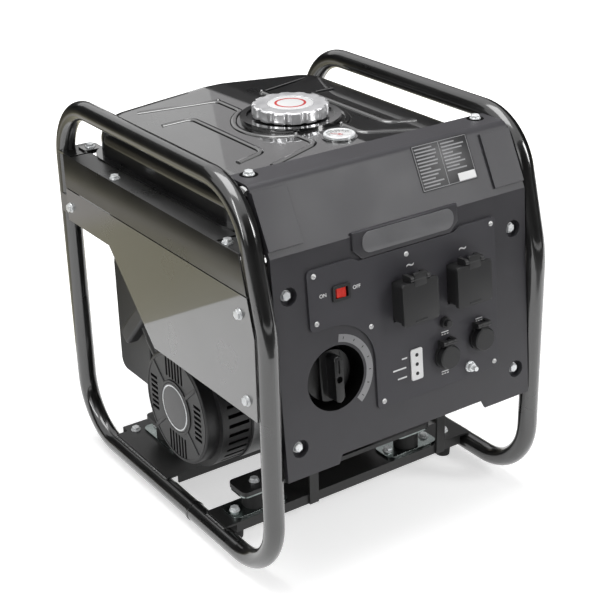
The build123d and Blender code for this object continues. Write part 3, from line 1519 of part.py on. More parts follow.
rope_start = pulley_dia / 2 + rope_dia / 2
stem_start = guide_end
with BuildPart() as starter_rope:
    with BuildSketch(rope_plane.offset(rope_start)):
        Circle(rope_dia / 2)
    extrude(amount=stem_start - rope_start)
save(starter_rope, "starter_rope")

grip_start = stem_start + 2 * grip_gap
grip_plane = rope_plane.offset(grip_start)
with BuildPart() as pull_handle:
    with BuildSketch(grip_plane):
        with Locations((grip_x - pulley_x, 0)):
            RectangleRounded(grip_thickness, grip_length, grip_thickness / 3)
    extrude(amount=grip_width)
    grip_faces = pull_handle.faces().filter_by(Axis(grip_plane.origin, grip_plane.z_dir))
    fillet(grip_faces.edges(), grip_edge)
    with BuildSketch(rope_plane.offset(stem_start)):
        Circle(stem_dia / 2)
    extrude(amount=2 * grip_gap + grip_width / 2)
save(pull_handle, "pull_handle")

# Air box, its cover and the carburettor between it and the head
airbox_middle = ((airbox_front_y + airbox_rear_y) / 2, (airbox_low_z + airbox_high_z) / 2)
airbox_length = airbox_rear_y - airbox_front_y
airbox_height = airbox_high_z - airbox_low_z
airbox_split = airbox_left + airbox_cover


def airbox_half(start_x, amount):
    """Open shell whose closed face is at the starting x."""
    inward = airbox_wall if amount > 0 else -airbox_wall
    with BuildPart() as shell:
        with BuildSketch(Plane.YZ.offset(start_x)):
            with Locations(airbox_middle):
                RectangleRounded(airbox_length, airbox_height, airbox_corner)
        extrude(amount=amount)
        fillet(shell.faces().sort_by_distance((start_x, *airbox_middle))[0].edges(), airbox_wall)
        with BuildSketch(Plane.YZ.offset(start_x + inward)):
            with Locations(airbox_middle):
                thin = 2 * airbox_wall
                RectangleRounded(airbox_length - thin, airbox_height - thin, airbox_corner - airbox_wall)
        extrude(amount=amount, mode=Mode.SUBTRACT)
    return shell


with BuildPart() as airbox:
    add(airbox_half(airbox_right, airbox_split - airbox_right).part)
    with BuildSketch(head_plane.offset(airbox_right)):
        Circle(port_dia / 2)
    extrude(amount=-2 * airbox_wall, mode=Mode.SUBTRACT)
save(airbox, "airbox")
save(airbox_half(airbox_left, airbox_cover), "airbox_cover")

carb_length = airbox_right + fin_width / 2
bowl_plane = Plane(origin=(carb_x, head_y, head_z))
with BuildPart() as carburettor:
    with BuildSketch(head_plane.offset(-fin_width / 2)):
        Circle(carb_dia / 2)
    extrude(amount=carb_length)
    with BuildSketch(bowl_plane):
        Circle(bowl_dia / 2)
    extrude(amount=-bowl_depth)
    with BuildSketch(bowl_plane):
        Circle(nipple_dia / 2)
    extrude(amount=carb_dia / 2 + nipple_length)
    with BuildSketch(head_plane.offset(-fin_width / 2)):
        Circle(port_dia / 2)
    extrude(amount=carb_length, mode=Mode.SUBTRACT)
    for flange_x in (-fin_width / 2, airbox_right + plate_steel):
        with BuildSketch(head_plane.offset(flange_x)):
            RectangleRounded(carb_flange, carb_dia, plate_corner)
            Circle(port_dia / 2, mode=Mode.SUBTRACT)
        extrude(amount=-plate_steel)
save(carburettor, "carburettor")

# Muffler: hollow box fed from the head, with an outlet stub at the back
muffler_middle = ((muffler_front_y + muffler_rear_y) / 2, (muffler_low_z + muffler_high_z) / 2)
muffler_length = muffler_rear_y - muffler_front_y
muffler_height = muffler_high_z - muffler_low_z
exhaust_bore = exhaust_dia - 2 * plate_steel
stub_plane = Plane.XZ.offset(-muffler_rear_y + muffler_wall)
stub_place = ((muffler_left + muffler_right) / 2, muffler_middle[1])
with BuildPart() as muffler:
    with BuildSketch(Plane.YZ.offset(muffler_left)):
        with Locations(muffler_middle):
            RectangleRounded(muffler_length, muffler_height, airbox_corner)
    extrude(amount=muffler_right - muffler_left)
    fillet(muffler.faces().filter_by(Axis.X).edges(), muffler_edge)
    with BuildSketch(stub_plane):
        with Locations(stub_place):
            Circle(exhaust_bore / 2)
    extrude(amount=-exhaust_stub)
    with BuildSketch(Plane.YZ.offset(muffler_left + muffler_wall)):
        with Locations(muffler_middle):
            thin = 2 * muffler_edge
            RectangleRounded(muffler_length - thin, muffler_height - thin, airbox_corner - muffler_edge)
    extrude(amount=muffler_right - muffler_left - 2 * muffler_wall, mode=Mode.SUBTRACT)
    with BuildSketch(stub_plane):
        with Locations(stub_place):
            Circle(exhaust_bore / 2 - muffler_wall)
    extrude(amount=exhaust_stub, both=True, mode=Mode.SUBTRACT)
    with BuildSketch(head_plane.offset(fin_width / 2)):
        Circle(exhaust_dia / 2)
    extrude(amount=muffler_left - fin_width / 2 + muffler_wall)
    with BuildSketch(head_plane.offset(fin_width / 2)):
        Circle(exhaust_bore / 2)
    extrude(amount=muffler_left - fin_width / 2 + 2 * muffler_wall, mode=Mode.SUBTRACT)
save(muffler, "muffler")

# Fuel hoses: tank to valve, and valve to carburettor
valve_top = valve_axis + panel_plane.y_dir * (valve_dia / 2 + clearance)
valve_rear = Vector(*panel_point(knob_u, knob_v, -valve_back - clearance))
tank_hose = [
    valve_top,
    valve_top + panel_plane.y_dir * hose_lead,
    (tank_nipple[0], tank_nipple[1], tank_low_z - hose_lead),
    (tank_nipple[0], tank_nipple[1], tank_low_z - clearance),
]
carb_hose = [
    valve_rear,
    valve_rear - panel_plane.z_dir * 2 * hose_lead,
    (carb_x, head_y - 2 * hose_lead, hose_run_z),
    (carb_x, head_y, hose_run_z),
    (carb_x, head_y, head_z + carb_dia / 2 + clearance),
]
with BuildPart() as fuel_hoses:
    for hose_points in (tank_hose, carb_hose):
        with BuildLine() as hose_path:
            FilletPolyline(*hose_points, radius=hose_radius)
        with BuildSketch(Plane(origin=hose_path.line @ 0, z_dir=hose_path.line % 0)):
            Circle(hose_dia / 2)
            Circle(hose_bore / 2, mode=Mode.SUBTRACT)
        sweep(path=hose_path.line)
save(fuel_hoses, "fuel_hoses")

# Bolts of the panels, the brow, the rails and the tank
side_seat_x = outer_x + sheet
panel_bolt = flange_bolt(panel_bolt_reach)
side_places = [(side * side_seat_x, y, z, side) for side in (-1, 1) for y, z in side_bolt_points]
side_planes = [Plane(origin=(x, y, z), z_dir=(side, 0, 0)) for x, y, z, side in side_places]
cup_seats = [panel_point(u, v, -panel_cup_depth) for u, v in cup_points]
cup_planes = [Plane(origin=seat, z_dir=panel_plane.z_dir) for seat in cup_seats]
ledge_points = [(side * ledge_bolt_x, y, rail_top_z) for side in (-1, 1) for y in ledge_bolt_ys]
ear_tops = [(x, y, rail_top_z + tank_seam) for x, y in ear_points]
brow_tops = [(x, y, brow_top_z) for x, y in brow_bolts]
with BuildPart() as panel_bolts:
    with Locations(*side_planes, *cup_planes):
        add(panel_bolt.part)
    with Locations(*ledge_points, *ear_tops, *brow_tops):
        add(panel_bolt.part)
save(panel_bolts, "panel_bolts")
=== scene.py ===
# %% [markdown]
# # An open-frame generator, dressed in Blender
#
# The generator arrives as a fixed frame of exact solids: bent tubes, pressed steel, shafts and hinges.
# This lesson gives each solid its paint, plating, rubber or cast skin, and adds the small things that a
# drawing leaves out, such as weld beads, cross-slotted screws and the marks printed on the control plate.

# %% Load the solids
import math

import bmesh
import bpy
from mathutils import Matrix, Vector


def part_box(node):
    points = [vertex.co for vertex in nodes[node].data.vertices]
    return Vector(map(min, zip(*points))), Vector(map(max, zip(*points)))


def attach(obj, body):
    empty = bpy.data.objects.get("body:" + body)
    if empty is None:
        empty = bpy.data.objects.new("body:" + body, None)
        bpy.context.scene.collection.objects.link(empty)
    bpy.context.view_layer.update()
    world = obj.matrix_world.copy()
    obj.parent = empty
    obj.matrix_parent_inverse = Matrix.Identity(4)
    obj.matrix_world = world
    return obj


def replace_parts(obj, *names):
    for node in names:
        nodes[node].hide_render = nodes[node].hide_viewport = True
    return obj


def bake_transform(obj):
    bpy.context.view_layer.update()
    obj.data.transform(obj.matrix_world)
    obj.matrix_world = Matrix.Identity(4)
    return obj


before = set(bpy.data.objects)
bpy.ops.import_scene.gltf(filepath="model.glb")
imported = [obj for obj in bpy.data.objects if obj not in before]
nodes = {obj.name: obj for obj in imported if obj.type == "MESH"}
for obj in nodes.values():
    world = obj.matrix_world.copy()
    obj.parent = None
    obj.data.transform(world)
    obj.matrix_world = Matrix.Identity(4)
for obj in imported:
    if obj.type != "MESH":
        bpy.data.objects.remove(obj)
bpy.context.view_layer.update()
MM = 0.001

# %% [markdown]
# ## The camera
#
# The portrait is taken from the front left, a little above. The upright tubes and the level rails of the
# frame gave the angles, and the known spacing of the two tube loops gave the distance. A long lens keeps
# the uprights nearly parallel, as a product photographer would want them.

# %% Camera
azimuth, elevation, roll = (math.radians(angle) for angle in (-33.988, 24.636, -1.4637))
camera_place = Vector((-948.74, -1411.93, 1028.52)) * MM
image_px = 600
focal_px = 1411.55
sensor_mm = 36.0

level_right = Vector((math.cos(azimuth), math.sin(azimuth), 0))
level_back = Vector((level_right.y, -level_right.x, 0))
back = level_back * math.cos(elevation) + Vector((0, 0, math.sin(elevation)))
level_up = back.cross(level_right)
right = level_right * math.cos(roll) + level_up * math.sin(roll)
up = level_up * math.cos(roll) - level_right * math.sin(roll)

lens = bpy.data.cameras.new("portrait")
lens.sensor_width = sensor_mm
lens.lens = sensor_mm * focal_px / image_px
camera = bpy.data.objects.new("portrait", lens)
camera.matrix_world = Matrix.Translation(camera_place) @ Matrix((right, up, back)).transposed().to_4x4()
scene = bpy.context.scene
scene.collection.objects.link(camera)
scene.camera = camera
scene.view_settings.view_transform = "Standard"
print(f"lens of {lens.lens:.1f} mm")

# %% [markdown]
# ## A small language for node graphs
#
# Blender's materials and Geometry Nodes are both graphs. Wiring them by hand in Python is wordy, so two
# small classes do it: a Wire is an output socket that can be added and multiplied like a number, and a
# Graph has one method that makes any node, sets it up and connects it.

# %% Wires and graphs
class Wire:
    """An output socket that takes part in Python sums: each sum adds one Math node."""

    def __init__(self, graph, socket):
        self.graph = graph
        self.socket = socket

    def maths(self, operation, *values):
        return self.graph.node("ShaderNodeMath", {"operation": operation}, dict(enumerate(values)))

    def __add__(self, other):
        return self.maths("ADD", self, other)

    def __sub__(self, other):
        return self.maths("SUBTRACT", self, other)

    def __rsub__(self, other):
        return self.maths("SUBTRACT", other, self)

    def __mul__(self, other):
        return self.maths("MULTIPLY", self, other)

    __radd__ = __add__
    __rmul__ = __mul__


class Graph:
    """A node tree, with one method that makes any node in it."""

    def __init__(self, tree):
        self.tree = tree

    def node(self, kind, settings=None, sockets=None, output=0):
        made = self.tree.nodes.new(kind)
        for name, value in (settings or {}).items():
            setattr(made, name, value)
        self.feed(made, sockets or {})
        return Wire(self, made.outputs[output])

    def feed(self, made, sockets):
        for name, value in sockets.items():
            if isinstance(value, Wire):
                self.tree.links.new(value.socket, made.inputs[name])
            else:
                made.inputs[name].default_value = value


# %% [markdown]
# ## The studio
#
# A pale floor and a plain white world make the clean cut-out look of a catalogue picture. The world is
# full white only for the rays that the camera, a mirror or glass sends out; on dull surfaces it shines
# more softly, so that the lamps still model the shapes and the floor still shows a shadow.

# %% World and floor
def seen_directly(graph):
    """1 on rays from the camera, from a glossy surface or through glass, and 0 on all others."""
    kinds = ("Is Camera Ray", "Is Glossy Ray", "Is Transmission Ray")
    camera_ray, glossy_ray, glass_ray = (graph.node("ShaderNodeLightPath", output=kind) for kind in kinds)
    total = camera_ray + glossy_ray + glass_ray
    return total.maths("MINIMUM", total, 1.0)


room_light = 0.34
world = bpy.data.worlds.new("white_room")
scene.world = world
world.use_nodes = True
room = Graph(world.node_tree)
room.feed(
    world.node_tree.nodes["Background"],
    {"Color": (1, 1, 1, 1), "Strength": room_light + (1 - room_light) * seen_directly(room)},
)

floor_half, floor_drop = 6.0, 0.2 * MM
floor_mesh = bpy.data.meshes.new("floor")
corners = [(x * floor_half, y * floor_half, -floor_drop) for x, y in ((-1, -1), (1, -1), (1, 1), (-1, 1))]
floor_mesh.from_pydata(corners, [], [(0, 1, 2, 3)])
floor = bpy.data.objects.new("floor", floor_mesh)
scene.collection.objects.link(floor)

floor_white = 0.86
near_lift, far_lift = 0.56, 1.0
near_edge, far_edge = 0.6, 1.6
paper = bpy.data.materials.new("floor_paper")
paper.use_nodes = True
paper_graph = Graph(paper.node_tree)
floor_place = paper_graph.node("ShaderNodeTexCoord", output="Object")
distance = paper_graph.node("ShaderNodeVectorMath", {"operation": "LENGTH"}, {0: floor_place}, "Value")
reach = {"Value": distance, "From Min": near_edge, "From Max": far_edge}
lift = {"To Min": near_lift, "To Max": far_lift}
paper_graph.feed(
    paper.node_tree.nodes["Principled BSDF"],
    {
        "Base Color": (floor_white, floor_white, floor_white, 1),
        "Roughness": 0.9,
        "Specular IOR Level": 0.0,
        "Emission Color": paper_graph.node("ShaderNodeMapRange", {}, reach | lift),
        "Emission Strength": seen_directly(paper_graph),
    },
)
floor_mesh.materials.append(paper)
print("floor and white room")

# %% [markdown]
# ### Lamps
#
# A large softbox overhead lights the tank and the floor, one at the front right lifts the panel, and a
# faint one on the left fills the shadows. The narrow strip on the left is there for the gloss paint alone:
# it draws the bright line along the tubes and adds no light to dull surfaces.

# %% Lamps
def softbox(name, place, aim, size, watts, streak=False):
    """A rectangular lamp facing a point, in metres; a streak shows in gloss paint alone."""
    lamp = bpy.data.lights.new(name, "AREA")
    lamp.shape = "RECTANGLE"
    lamp.size, lamp.size_y = size
    lamp.energy = watts
    holder = bpy.data.objects.new(name, lamp)
    direction = Vector(aim) - Vector(place)
    facing = direction.to_track_quat("-Z", "Y").to_matrix().to_4x4()
    holder.matrix_world = Matrix.Translation(place) @ facing
    holder.visible_camera = False
    holder.visible_diffuse = not streak
    scene.collection.objects.link(holder)


middle = (0, 0, 0.26)
softbox("overhead", (-0.2, 0.1, 2.4), middle, (1.6, 1.6), 38)
softbox("left_strip", (-2.1, -0.5, 1.3), middle, (0.25, 1.8), 14, streak=True)
softbox("left_fill", (-1.9, -1.2, 1.0), middle, (0.8, 0.8), 2)
softbox("front_fill", (1.5, -2.1, 1.6), middle, (0.5, 1.2), 25)
print("four softboxes")

# %% [markdown]
# ### Flags
#
# Gloss paint has hardly any colour of its own: it shows the room. In an all-white room a black machine
# looks grey, so photographers stand dark cards, called flags, out of sight and let the paint mirror them.
# These flags are seen by glossy rays alone. They throw no shadow, and the camera looks straight through
# them. The white table ends half a metre behind the generator's middle, as the side panels' paint shows.

# %% Flags round the table
def flag(name, corners, tones, axis, span):
    """A card seen only in reflections, shading from one tone to the next along an axis, in metres."""
    card_mesh = bpy.data.meshes.new(name)
    card_mesh.from_pydata(corners, [], [(0, 1, 2, 3)])
    card = bpy.data.objects.new(name, card_mesh)
    for sight in ("camera", "diffuse", "shadow", "transmission", "volume_scatter"):
        setattr(card, f"visible_{sight}", False)
    scene.collection.objects.link(card)
    cloth = bpy.data.materials.new(name)
    cloth.use_nodes = True
    shade = Graph(cloth.node_tree)
    place = shade.node("ShaderNodeTexCoord", output="Object")
    along = shade.node("ShaderNodeSeparateXYZ", {}, {0: place}, output=axis)
    sockets = {"Value": along, "From Min": span[0], "From Max": span[1]}
    share = shade.node("ShaderNodeMapRange", {"interpolation_type": "SMOOTHSTEP"}, sockets)
    fade = {"Factor": share, 6: tones[0], 7: tones[1]}
    colour = shade.node("ShaderNodeMix", {"data_type": "RGBA"}, fade, output=2)
    unlit = {"Base Color": (0, 0, 0, 1), "Specular IOR Level": 0.0}
    glow = {"Emission Color": colour, "Emission Strength": 1.0}
    shade.feed(cloth.node_tree.nodes["Principled BSDF"], unlit | glow)
    card_mesh.materials.append(cloth)


def wall(x_span, y_span, z_span):
    """Corners of an upright card between two places on the floor."""
    (x0, x1), (y0, y1), (z0, z1) = x_span, y_span, z_span
    return [(x0, y0, z0), (x1, y1, z0), (x1, y1, z1), (x0, y0, z1)]


def ground(low, high):
    """Corners of a card that lies across the room between two places along y."""
    return [(side * room_half, y, ground_card) for side, y in ((-1, low), (1, low), (1, high), (-1, high))]


room_half, room_high, ground_card = 3.0, 3.2, 1.5 * MM
table_edge, cards_meet, rear, side_wall, front_edge = 0.525, 1.25, 2.5, 2.6, -0.9
soot, dusk = (0.01, 0.01, 0.01, 1), (0.16, 0.16, 0.16, 1)
olive, dim_olive = (0.60, 0.57, 0.43, 1), (0.13, 0.12, 0.09, 1)
ash, pale = (0.74, 0.71, 0.69, 1), (0.68, 0.67, 0.68, 1)
flag("table_end", ground(table_edge, cards_meet), (olive, ash), "Y", (0.92, 1.08))
flag("far_floor", ground(cards_meet, rear), (olive, dim_olive), "Y", (cards_meet, 2.0))
flag("front_floor", ground(-room_half, front_edge), (soot, dusk), "Y", (-1.8, front_edge))
flag("rear_right", wall((1.2, room_half), (rear, rear), (0, room_high)), (soot, pale), "Z", (1.38, 1.52))
flag("rear_left", wall((-room_half, 1.1), (rear, rear), (0, 1.25)), (dim_olive, soot), "Z", (0.0, 0.6))
flag("rear_left_high", wall((-room_half, -0.6), (rear, rear), (1.25, 2.4)), (soot, soot), "Z", (1.3, 2.4))
sides = (-side_wall, rear)
flag("right", wall((side_wall, side_wall), sides, (0, room_high)), (soot, soot), "Z", (0.0, 1.0))
ahead = wall((-room_half, room_half), (-side_wall, -side_wall), (0.3, room_high))
flag("front", ahead, (soot, dusk), "Z", (1.6, 3.0))
flag("left", wall((-side_wall, -side_wall), sides, (0.0, 0.95)), (soot, soot), "Z", (0.0, 1.0))
print("nine flags")

# %% [markdown]
# ## Finishes
#
# No surface is one flat colour. Every finish below starts from two close tones that drift into each other
# over a few centimetres, a roughness that drifts with them, and a fine grain that only catches the light.
# Sharp edges of sheet and castings get a hair of rounding from the Bevel node, because in life no edge is
# perfectly sharp and the thin bright line along it is what makes metal look like metal.

# %% The base of every finish
finishes = {}


def tone(red, green, blue):
    """A colour as a screen shows it, from 0 to 255, turned into the linear light that a shader takes."""
    channels = [value / 255 for value in (red, green, blue)]
    return tuple(c / 12.92 if c < 0.04045 else ((c + 0.055) / 1.055) ** 2.4 for c in channels) + (1.0,)


class Finish(Graph):
    """A material with a Principled shader, and short names for the nodes that finishes use most."""

    def __init__(self, name):
        self.material = bpy.data.materials.new(name)
        self.material.use_nodes = True
        super().__init__(self.material.node_tree)
        self.shader = self.tree.nodes["Principled BSDF"]
        self.place = self.node("ShaderNodeTexCoord", output="Object")
        finishes[name] = self.material

    def set(self, **sockets):
        self.feed(self.shader, {name.replace("_", " "): value for name, value in sockets.items()})

    def noise(self, per_metre, detail):
        sockets = {"Vector": self.place, "Scale": per_metre, "Detail": detail}
        return self.node("ShaderNodeTexNoise", {}, sockets)

    def ramp(self, value, low, high, start=0.0, end=1.0):
        sockets = {"Value": value, "From Min": low, "From Max": high, "To Min": start, "To Max": end}
        return self.node("ShaderNodeMapRange", {}, sockets)

    def mix(self, first, second, share):
        sockets = {"Factor": share, 6: first, 7: second}
        return self.node("ShaderNodeMix", {"data_type": "RGBA"}, sockets, output=2)

    def rounded(self, radius):
        return self.node("ShaderNodeBevel", {"samples": 4}, {"Radius": radius})

    def relief(self, height, depth, normal=None):
        sockets = {"Height": height, "Strength": 1.0, "Distance": depth}
        if normal:
            sockets["Normal"] = normal
        return self.node("ShaderNodeBump", {}, sockets)


edge_round = 0.5 * MM


def plain_finish(name, dark, light, rough, grain, depth, drift=14, spread=0.08):
    """Two drifting tones, a drifting roughness, a fine grain some mm deep and rounded edges."""
    surface = Finish(name)
    cloud = surface.noise(drift, 4.0)
    fine = surface.noise(grain, 3.0)
    colour = surface.mix(dark, light, surface.ramp(cloud * 0.75 + fine * 0.25, 0.36, 0.64))
    surface.set(
        Base_Color=colour,
        Roughness=surface.ramp(cloud, 0.3, 0.7, rough - spread / 2, rough + spread / 2),
        Normal=surface.relief(fine, depth * MM, surface.rounded(edge_round)),
    )
    return surface


# %% [markdown]
# ## Paint and moulded plastic
#
# The frame, the rails and the tank are sprayed in gloss black over bare steel. Sprayed paint dries with a
# faint orange-peel ripple a couple of millimetres across, and a clear coat lies over the colour, so the
# shader has a coat of its own. The rails roll over at the top. That roll is drawn in the normal, which the
# coat doesn't follow, so the rails get their gloss from the base layer instead. The front panel is a
# moulded plastic with a satin skin, nearer to charcoal.

# %% Paint
orange_peel = 420
# Two tones, the roughness of the colour and of the coat, and the coat's index
coats = {
    "tube_black": (tone(18, 18, 18), tone(25, 25, 25), 0.3, 0.10, 1.7),
    "sheet_black": (tone(20, 20, 19), tone(26, 26, 25), 0.3, 0.04, 2.0),
    "tank_black": (tone(12, 12, 13), tone(17, 17, 18), 0.3, 0.03, 2.0),
    "deck_black": (tone(20, 20, 20), tone(28, 28, 28), 0.5, 0.30, 1.25),
}
coats["rail_black"] = coats["sheet_black"]
paints = {}
for name, (dark, light, rough, coat_rough, index) in coats.items():
    paint = plain_finish(name, dark, light, rough, grain=orange_peel, depth=0.006)
    paint.set(Coat_Weight=1.0, Coat_Roughness=coat_rough, Coat_IOR=index, Specular_IOR_Level=0.4)
    paints[name] = paint


def rolled_edge(paint, start, radius):
    """Bend the paint's normal upwards past a height, as if the sheet rolled over at its top edge."""
    height = paint.node("ShaderNodeSeparateXYZ", {}, {0: paint.place}, output="Z")
    rise = height - start
    past = rise.maths("MAXIMUM", rise, 0.0)
    flat = Wire(paint, paint.shader.inputs["Normal"].links[0].from_socket)
    paint.set(Normal=paint.relief(past * past * (-0.5 / radius), 1.0, flat))


rail_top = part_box("side_rail_left")[1].z
roll_depth, roll_radius = 36 * MM, 110 * MM
paints["rail_black"].set(Coat_Weight=0.0, IOR=2.0, Specular_IOR_Level=0.5)
rolled_edge(paints["rail_black"], rail_top - roll_depth, roll_radius)
print(f"{len(coats)} paints")

# %% Moulded plastic and rubber
# Two tones, a roughness, the grain's scale and its depth in millimetres
mouldings = {
    "panel_charcoal": (tone(47, 46, 50), tone(55, 54, 58), 0.42, 900, 0.02),
    "plate_grey": (tone(50, 49, 54), tone(57, 56, 61), 0.5, 1400, 0.015),
    "plastic_black": (tone(25, 25, 26), tone(33, 33, 34), 0.46, 1200, 0.025),
    "cover_black": (tone(48, 47, 48), tone(60, 59, 60), 0.5, 1000, 0.03),
    "rubber_black": (tone(24, 24, 25), tone(36, 36, 36), 0.72, 700, 0.05),
    "gauge_dark": (tone(26, 26, 28), tone(36, 36, 38), 0.35, 1200, 0.015),
    "badge_dark": (tone(76, 76, 77), tone(92, 92, 93), 0.4, 1600, 0.01),
    "strip_white": (tone(226, 226, 226), tone(240, 240, 240), 0.45, 900, 0.01),
    "plug_white": (tone(212, 208, 200), tone(232, 229, 222), 0.25, 500, 0.01),
    "rope_fibre": (tone(30, 30, 30), tone(62, 60, 58), 0.85, 1500, 0.15),
}
for name, (dark, light, rough, grain, depth) in mouldings.items():
    plain_finish(name, dark, light, rough, grain=grain, depth=depth)

red = plain_finish("switch_red", tone(196, 30, 22), tone(226, 52, 38), 0.3, grain=900, depth=0.01)
red.set(Coat_Weight=0.5, Coat_Roughness=0.1)
print(f"{len(mouldings) + 1} mouldings")

# %% [markdown]
# ## Metals
#
# The bolts and mount plates are zinc plated, which leaves patches of slightly different shine. The engine
# is sand cast, with a coarse pebbled skin. The exhaust turns straw brown where it runs hot, the windings
# are lacquered copper wire, and the fuel cap is chromed.

# %% Metals
# Two tones, a roughness, the grain's scale, its depth in millimetres and how metallic the surface is
metals = {
    # The zinc is partly painted reflection. Its near-white base, on a surface only a fifth metallic, stands
    # in for the bright sheen that plated bolts, rims and rings catch from the lamps.
    "zinc": (tone(222, 225, 227), tone(248, 250, 250), 0.26, 260, 0.015, 0.2),
    "screw_steel": (tone(206, 206, 206), tone(236, 236, 236), 0.24, 600, 0.01, 0.35),
    "mount_zinc": (tone(120, 128, 126), tone(158, 166, 164), 0.2, 260, 0.015, 1.0),
    # The chrome is partly painted reflection: half of its shine is given as a pale base colour instead of
    # mirror.
    "cap_chrome": (tone(226, 226, 228), tone(246, 246, 248), 0.16, 500, 0.004, 0.55),
    "cast_aluminium": (tone(120, 121, 122), tone(150, 150, 150), 0.52, 420, 0.12, 1.0),
    "shaft_steel": (tone(150, 150, 150), tone(186, 186, 186), 0.26, 900, 0.01, 1.0),
    "flywheel_iron": (tone(84, 84, 84), tone(108, 107, 105), 0.5, 500, 0.06, 1.0),
    "exhaust_steel": (tone(122, 112, 100), tone(160, 154, 148), 0.42, 300, 0.03, 1.0),
}
for name, (dark, light, rough, grain, depth, metallic) in metals.items():
    metal = plain_finish(name, dark, light, rough, drift=60, grain=grain, depth=depth, spread=0.14)
    metal.set(Metallic=metallic)

winding = Finish("winding_copper")
wave = {"Vector": winding.place, "Scale": 260, "Distortion": 1.5}
wire_rows = winding.node("ShaderNodeTexWave", {"bands_direction": "X"}, wave, output=1)
winding.set(
    Base_Color=winding.mix(tone(118, 58, 30), tone(196, 112, 66), wire_rows),
    Metallic=1.0,
    Roughness=winding.ramp(wire_rows, 0, 1, 0.45, 0.25),
    Normal=winding.relief(wire_rows, 0.3 * MM),
)
print(f"{len(metals) + 1} metals")

# %% Give every solid its finish
own_finish = {
    "front_crossmember": "deck_black",
    "rear_crossmember": "deck_black",
    "engine_base": "deck_black",
    "side_rail_left": "rail_black",
    "side_rail_right": "rail_black",
    "mount_plates": "mount_zinc",
}
for name, node in nodes.items():
    for place, material in enumerate(node.data.materials):
        node.data.materials[place] = finishes[own_finish.get(name, material.name)]
print("finishes on", ", ".join(sorted({m.name for node in nodes.values() for m in node.data.materials})))

# %% [markdown]
# ## Drawing small pieces
#
# The rest of the lesson adds what a drawing leaves out. Small pieces are drawn in millimetres on a flat
# bench and then carried to their place: a slab is an outline with thickness, and a turned piece is a
# profile spun round an axis, as on a lathe. The place is a matrix made from where a surface is and how it
# faces.

# %% Slabs, turned pieces and places
def spot(origin, across, up):
    """The matrix that carries a bench drawing to a surface: x goes across it, y up it and z out of it."""
    across, up = Vector(across), Vector(up)
    axes = Matrix((across, up, across.cross(up))).transposed().to_4x4()
    return Matrix.Translation(Vector(origin) * MM) @ axes


def level(x, y, z):
    """A place that faces straight up."""
    return spot((x, y, z), (1, 0, 0), (0, 1, 0))


def at(place, x, y, z=0.0):
    """The same place, moved by millimetres along its own axes."""
    return place @ Matrix.Translation(Vector((x, y, z)) * MM)


def arc(radius, start, end, steps, middle=(0.0, 0.0)):
    """Points along a circle between two angles in degrees."""
    angles = [math.radians(start + (end - start) * step / steps) for step in range(steps + 1)]
    return [(middle[0] + radius * math.cos(a), middle[1] + radius * math.sin(a)) for a in angles]


def rounded_box(width, height, radius, steps=6):
    """Outline of a rectangle with round corners."""
    x, y = width / 2 - radius, height / 2 - radius
    corners = [((x, y), 0), ((-x, y), 90), ((-x, -y), 180), ((x, -y), 270)]
    return [point for middle, turn in corners for point in arc(radius, turn, turn + 90, steps, middle)]


def slab(outline, low, high, edge=0.0):
    """A plate with an outline, from one height to another, its upper edge rounded."""
    shape = bmesh.new()
    rings = [[shape.verts.new((x, y, z)) for x, y in outline] for z in (low, high)]
    shape.faces.new(rings[0][::-1])
    shape.faces.new(rings[1])
    for i in range(len(outline)):
        shape.faces.new((rings[0][i - 1], rings[0][i], rings[1][i], rings[1][i - 1]))
    if edge:
        rim = [e for e in shape.edges if all(vert in rings[1] for vert in e.verts)]
        bmesh.ops.bevel(shape, geom=rim, offset=edge, segments=3, profile=0.5, affect="EDGES")
    return shape


def turned(profile, closed=False, steps=64):
    """A profile of (radius, height) points spun round the z axis."""
    shape = bmesh.new()
    rings = []
    for radius, height in profile:
        circle = arc(radius, 0, 360 - 360 / steps, steps - 1) if radius else [(0.0, 0.0)]
        rings.append([shape.verts.new((x, y, height)) for x, y in circle])
    for low, high in list(zip(rings, rings[1:])) + ([(rings[-1], rings[0])] if closed else []):
        for i in range(steps):
            round_face = ((low, i), (low, i + 1), (high, i + 1), (high, i))
            shape.faces.new(dict.fromkeys(ring[j % len(ring)] for ring, j in round_face))
    bmesh.ops.recalc_face_normals(shape, faces=shape.faces)
    return shape


def joined(*shapes):
    """Several shapes in one."""
    whole = shapes[0]
    for other in shapes[1:]:
        carrier = bpy.data.meshes.new("carrier")
        other.to_mesh(carrier)
        other.free()
        whole.from_mesh(carrier)
        bpy.data.meshes.remove(carrier)
    return whole


def moved(shape, x=0.0, y=0.0, z=0.0, turn=0.0):
    """A shape turned by degrees about z and then moved."""
    matrix = Matrix.Translation((x, y, z)) @ Matrix.Rotation(math.radians(turn), 4, "Z")
    bmesh.ops.transform(shape, matrix=matrix, verts=shape.verts)
    return shape


def mount(name, mesh, body):
    """Put a finished mesh in the scene, riding a body, with smooth curves and crisp edges."""
    mesh.shade_smooth()
    mesh.set_sharp_from_angle(angle=math.radians(38))
    holder = bpy.data.objects.new(name, mesh)
    scene.collection.objects.link(holder)
    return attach(holder, body)


def piece(name, shape, body, finish, place):
    """A bench drawing carried to its place, with its finish."""
    bmesh.ops.transform(shape, matrix=place @ Matrix.Scale(MM, 4), verts=shape.verts)
    mesh = bpy.data.meshes.new(name)
    shape.to_mesh(mesh)
    shape.free()
    mesh.materials.append(finishes[finish])
    return mount(name, mesh, body)


panel_lean = math.radians(5.0)
panel_up = Vector((0, math.sin(panel_lean), math.cos(panel_lean)))
panel_origin = Vector((0, -237.4, 280.0))
panel = spot(panel_origin, (1, 0, 0), panel_up)
plate_proud = 2.5
plate_face = at(panel, 0, 0, plate_proud)
bend_rise, brow_top = 150.0, Vector((0, -185.3, 504.0))
bend = panel_origin + bend_rise * panel_up
brow_up = (brow_top - bend).normalized()
brow = spot(bend, (1, 0, 0), brow_up)
print(f"the brow leans back {math.degrees(math.asin(brow_up.y)):.1f} degrees")

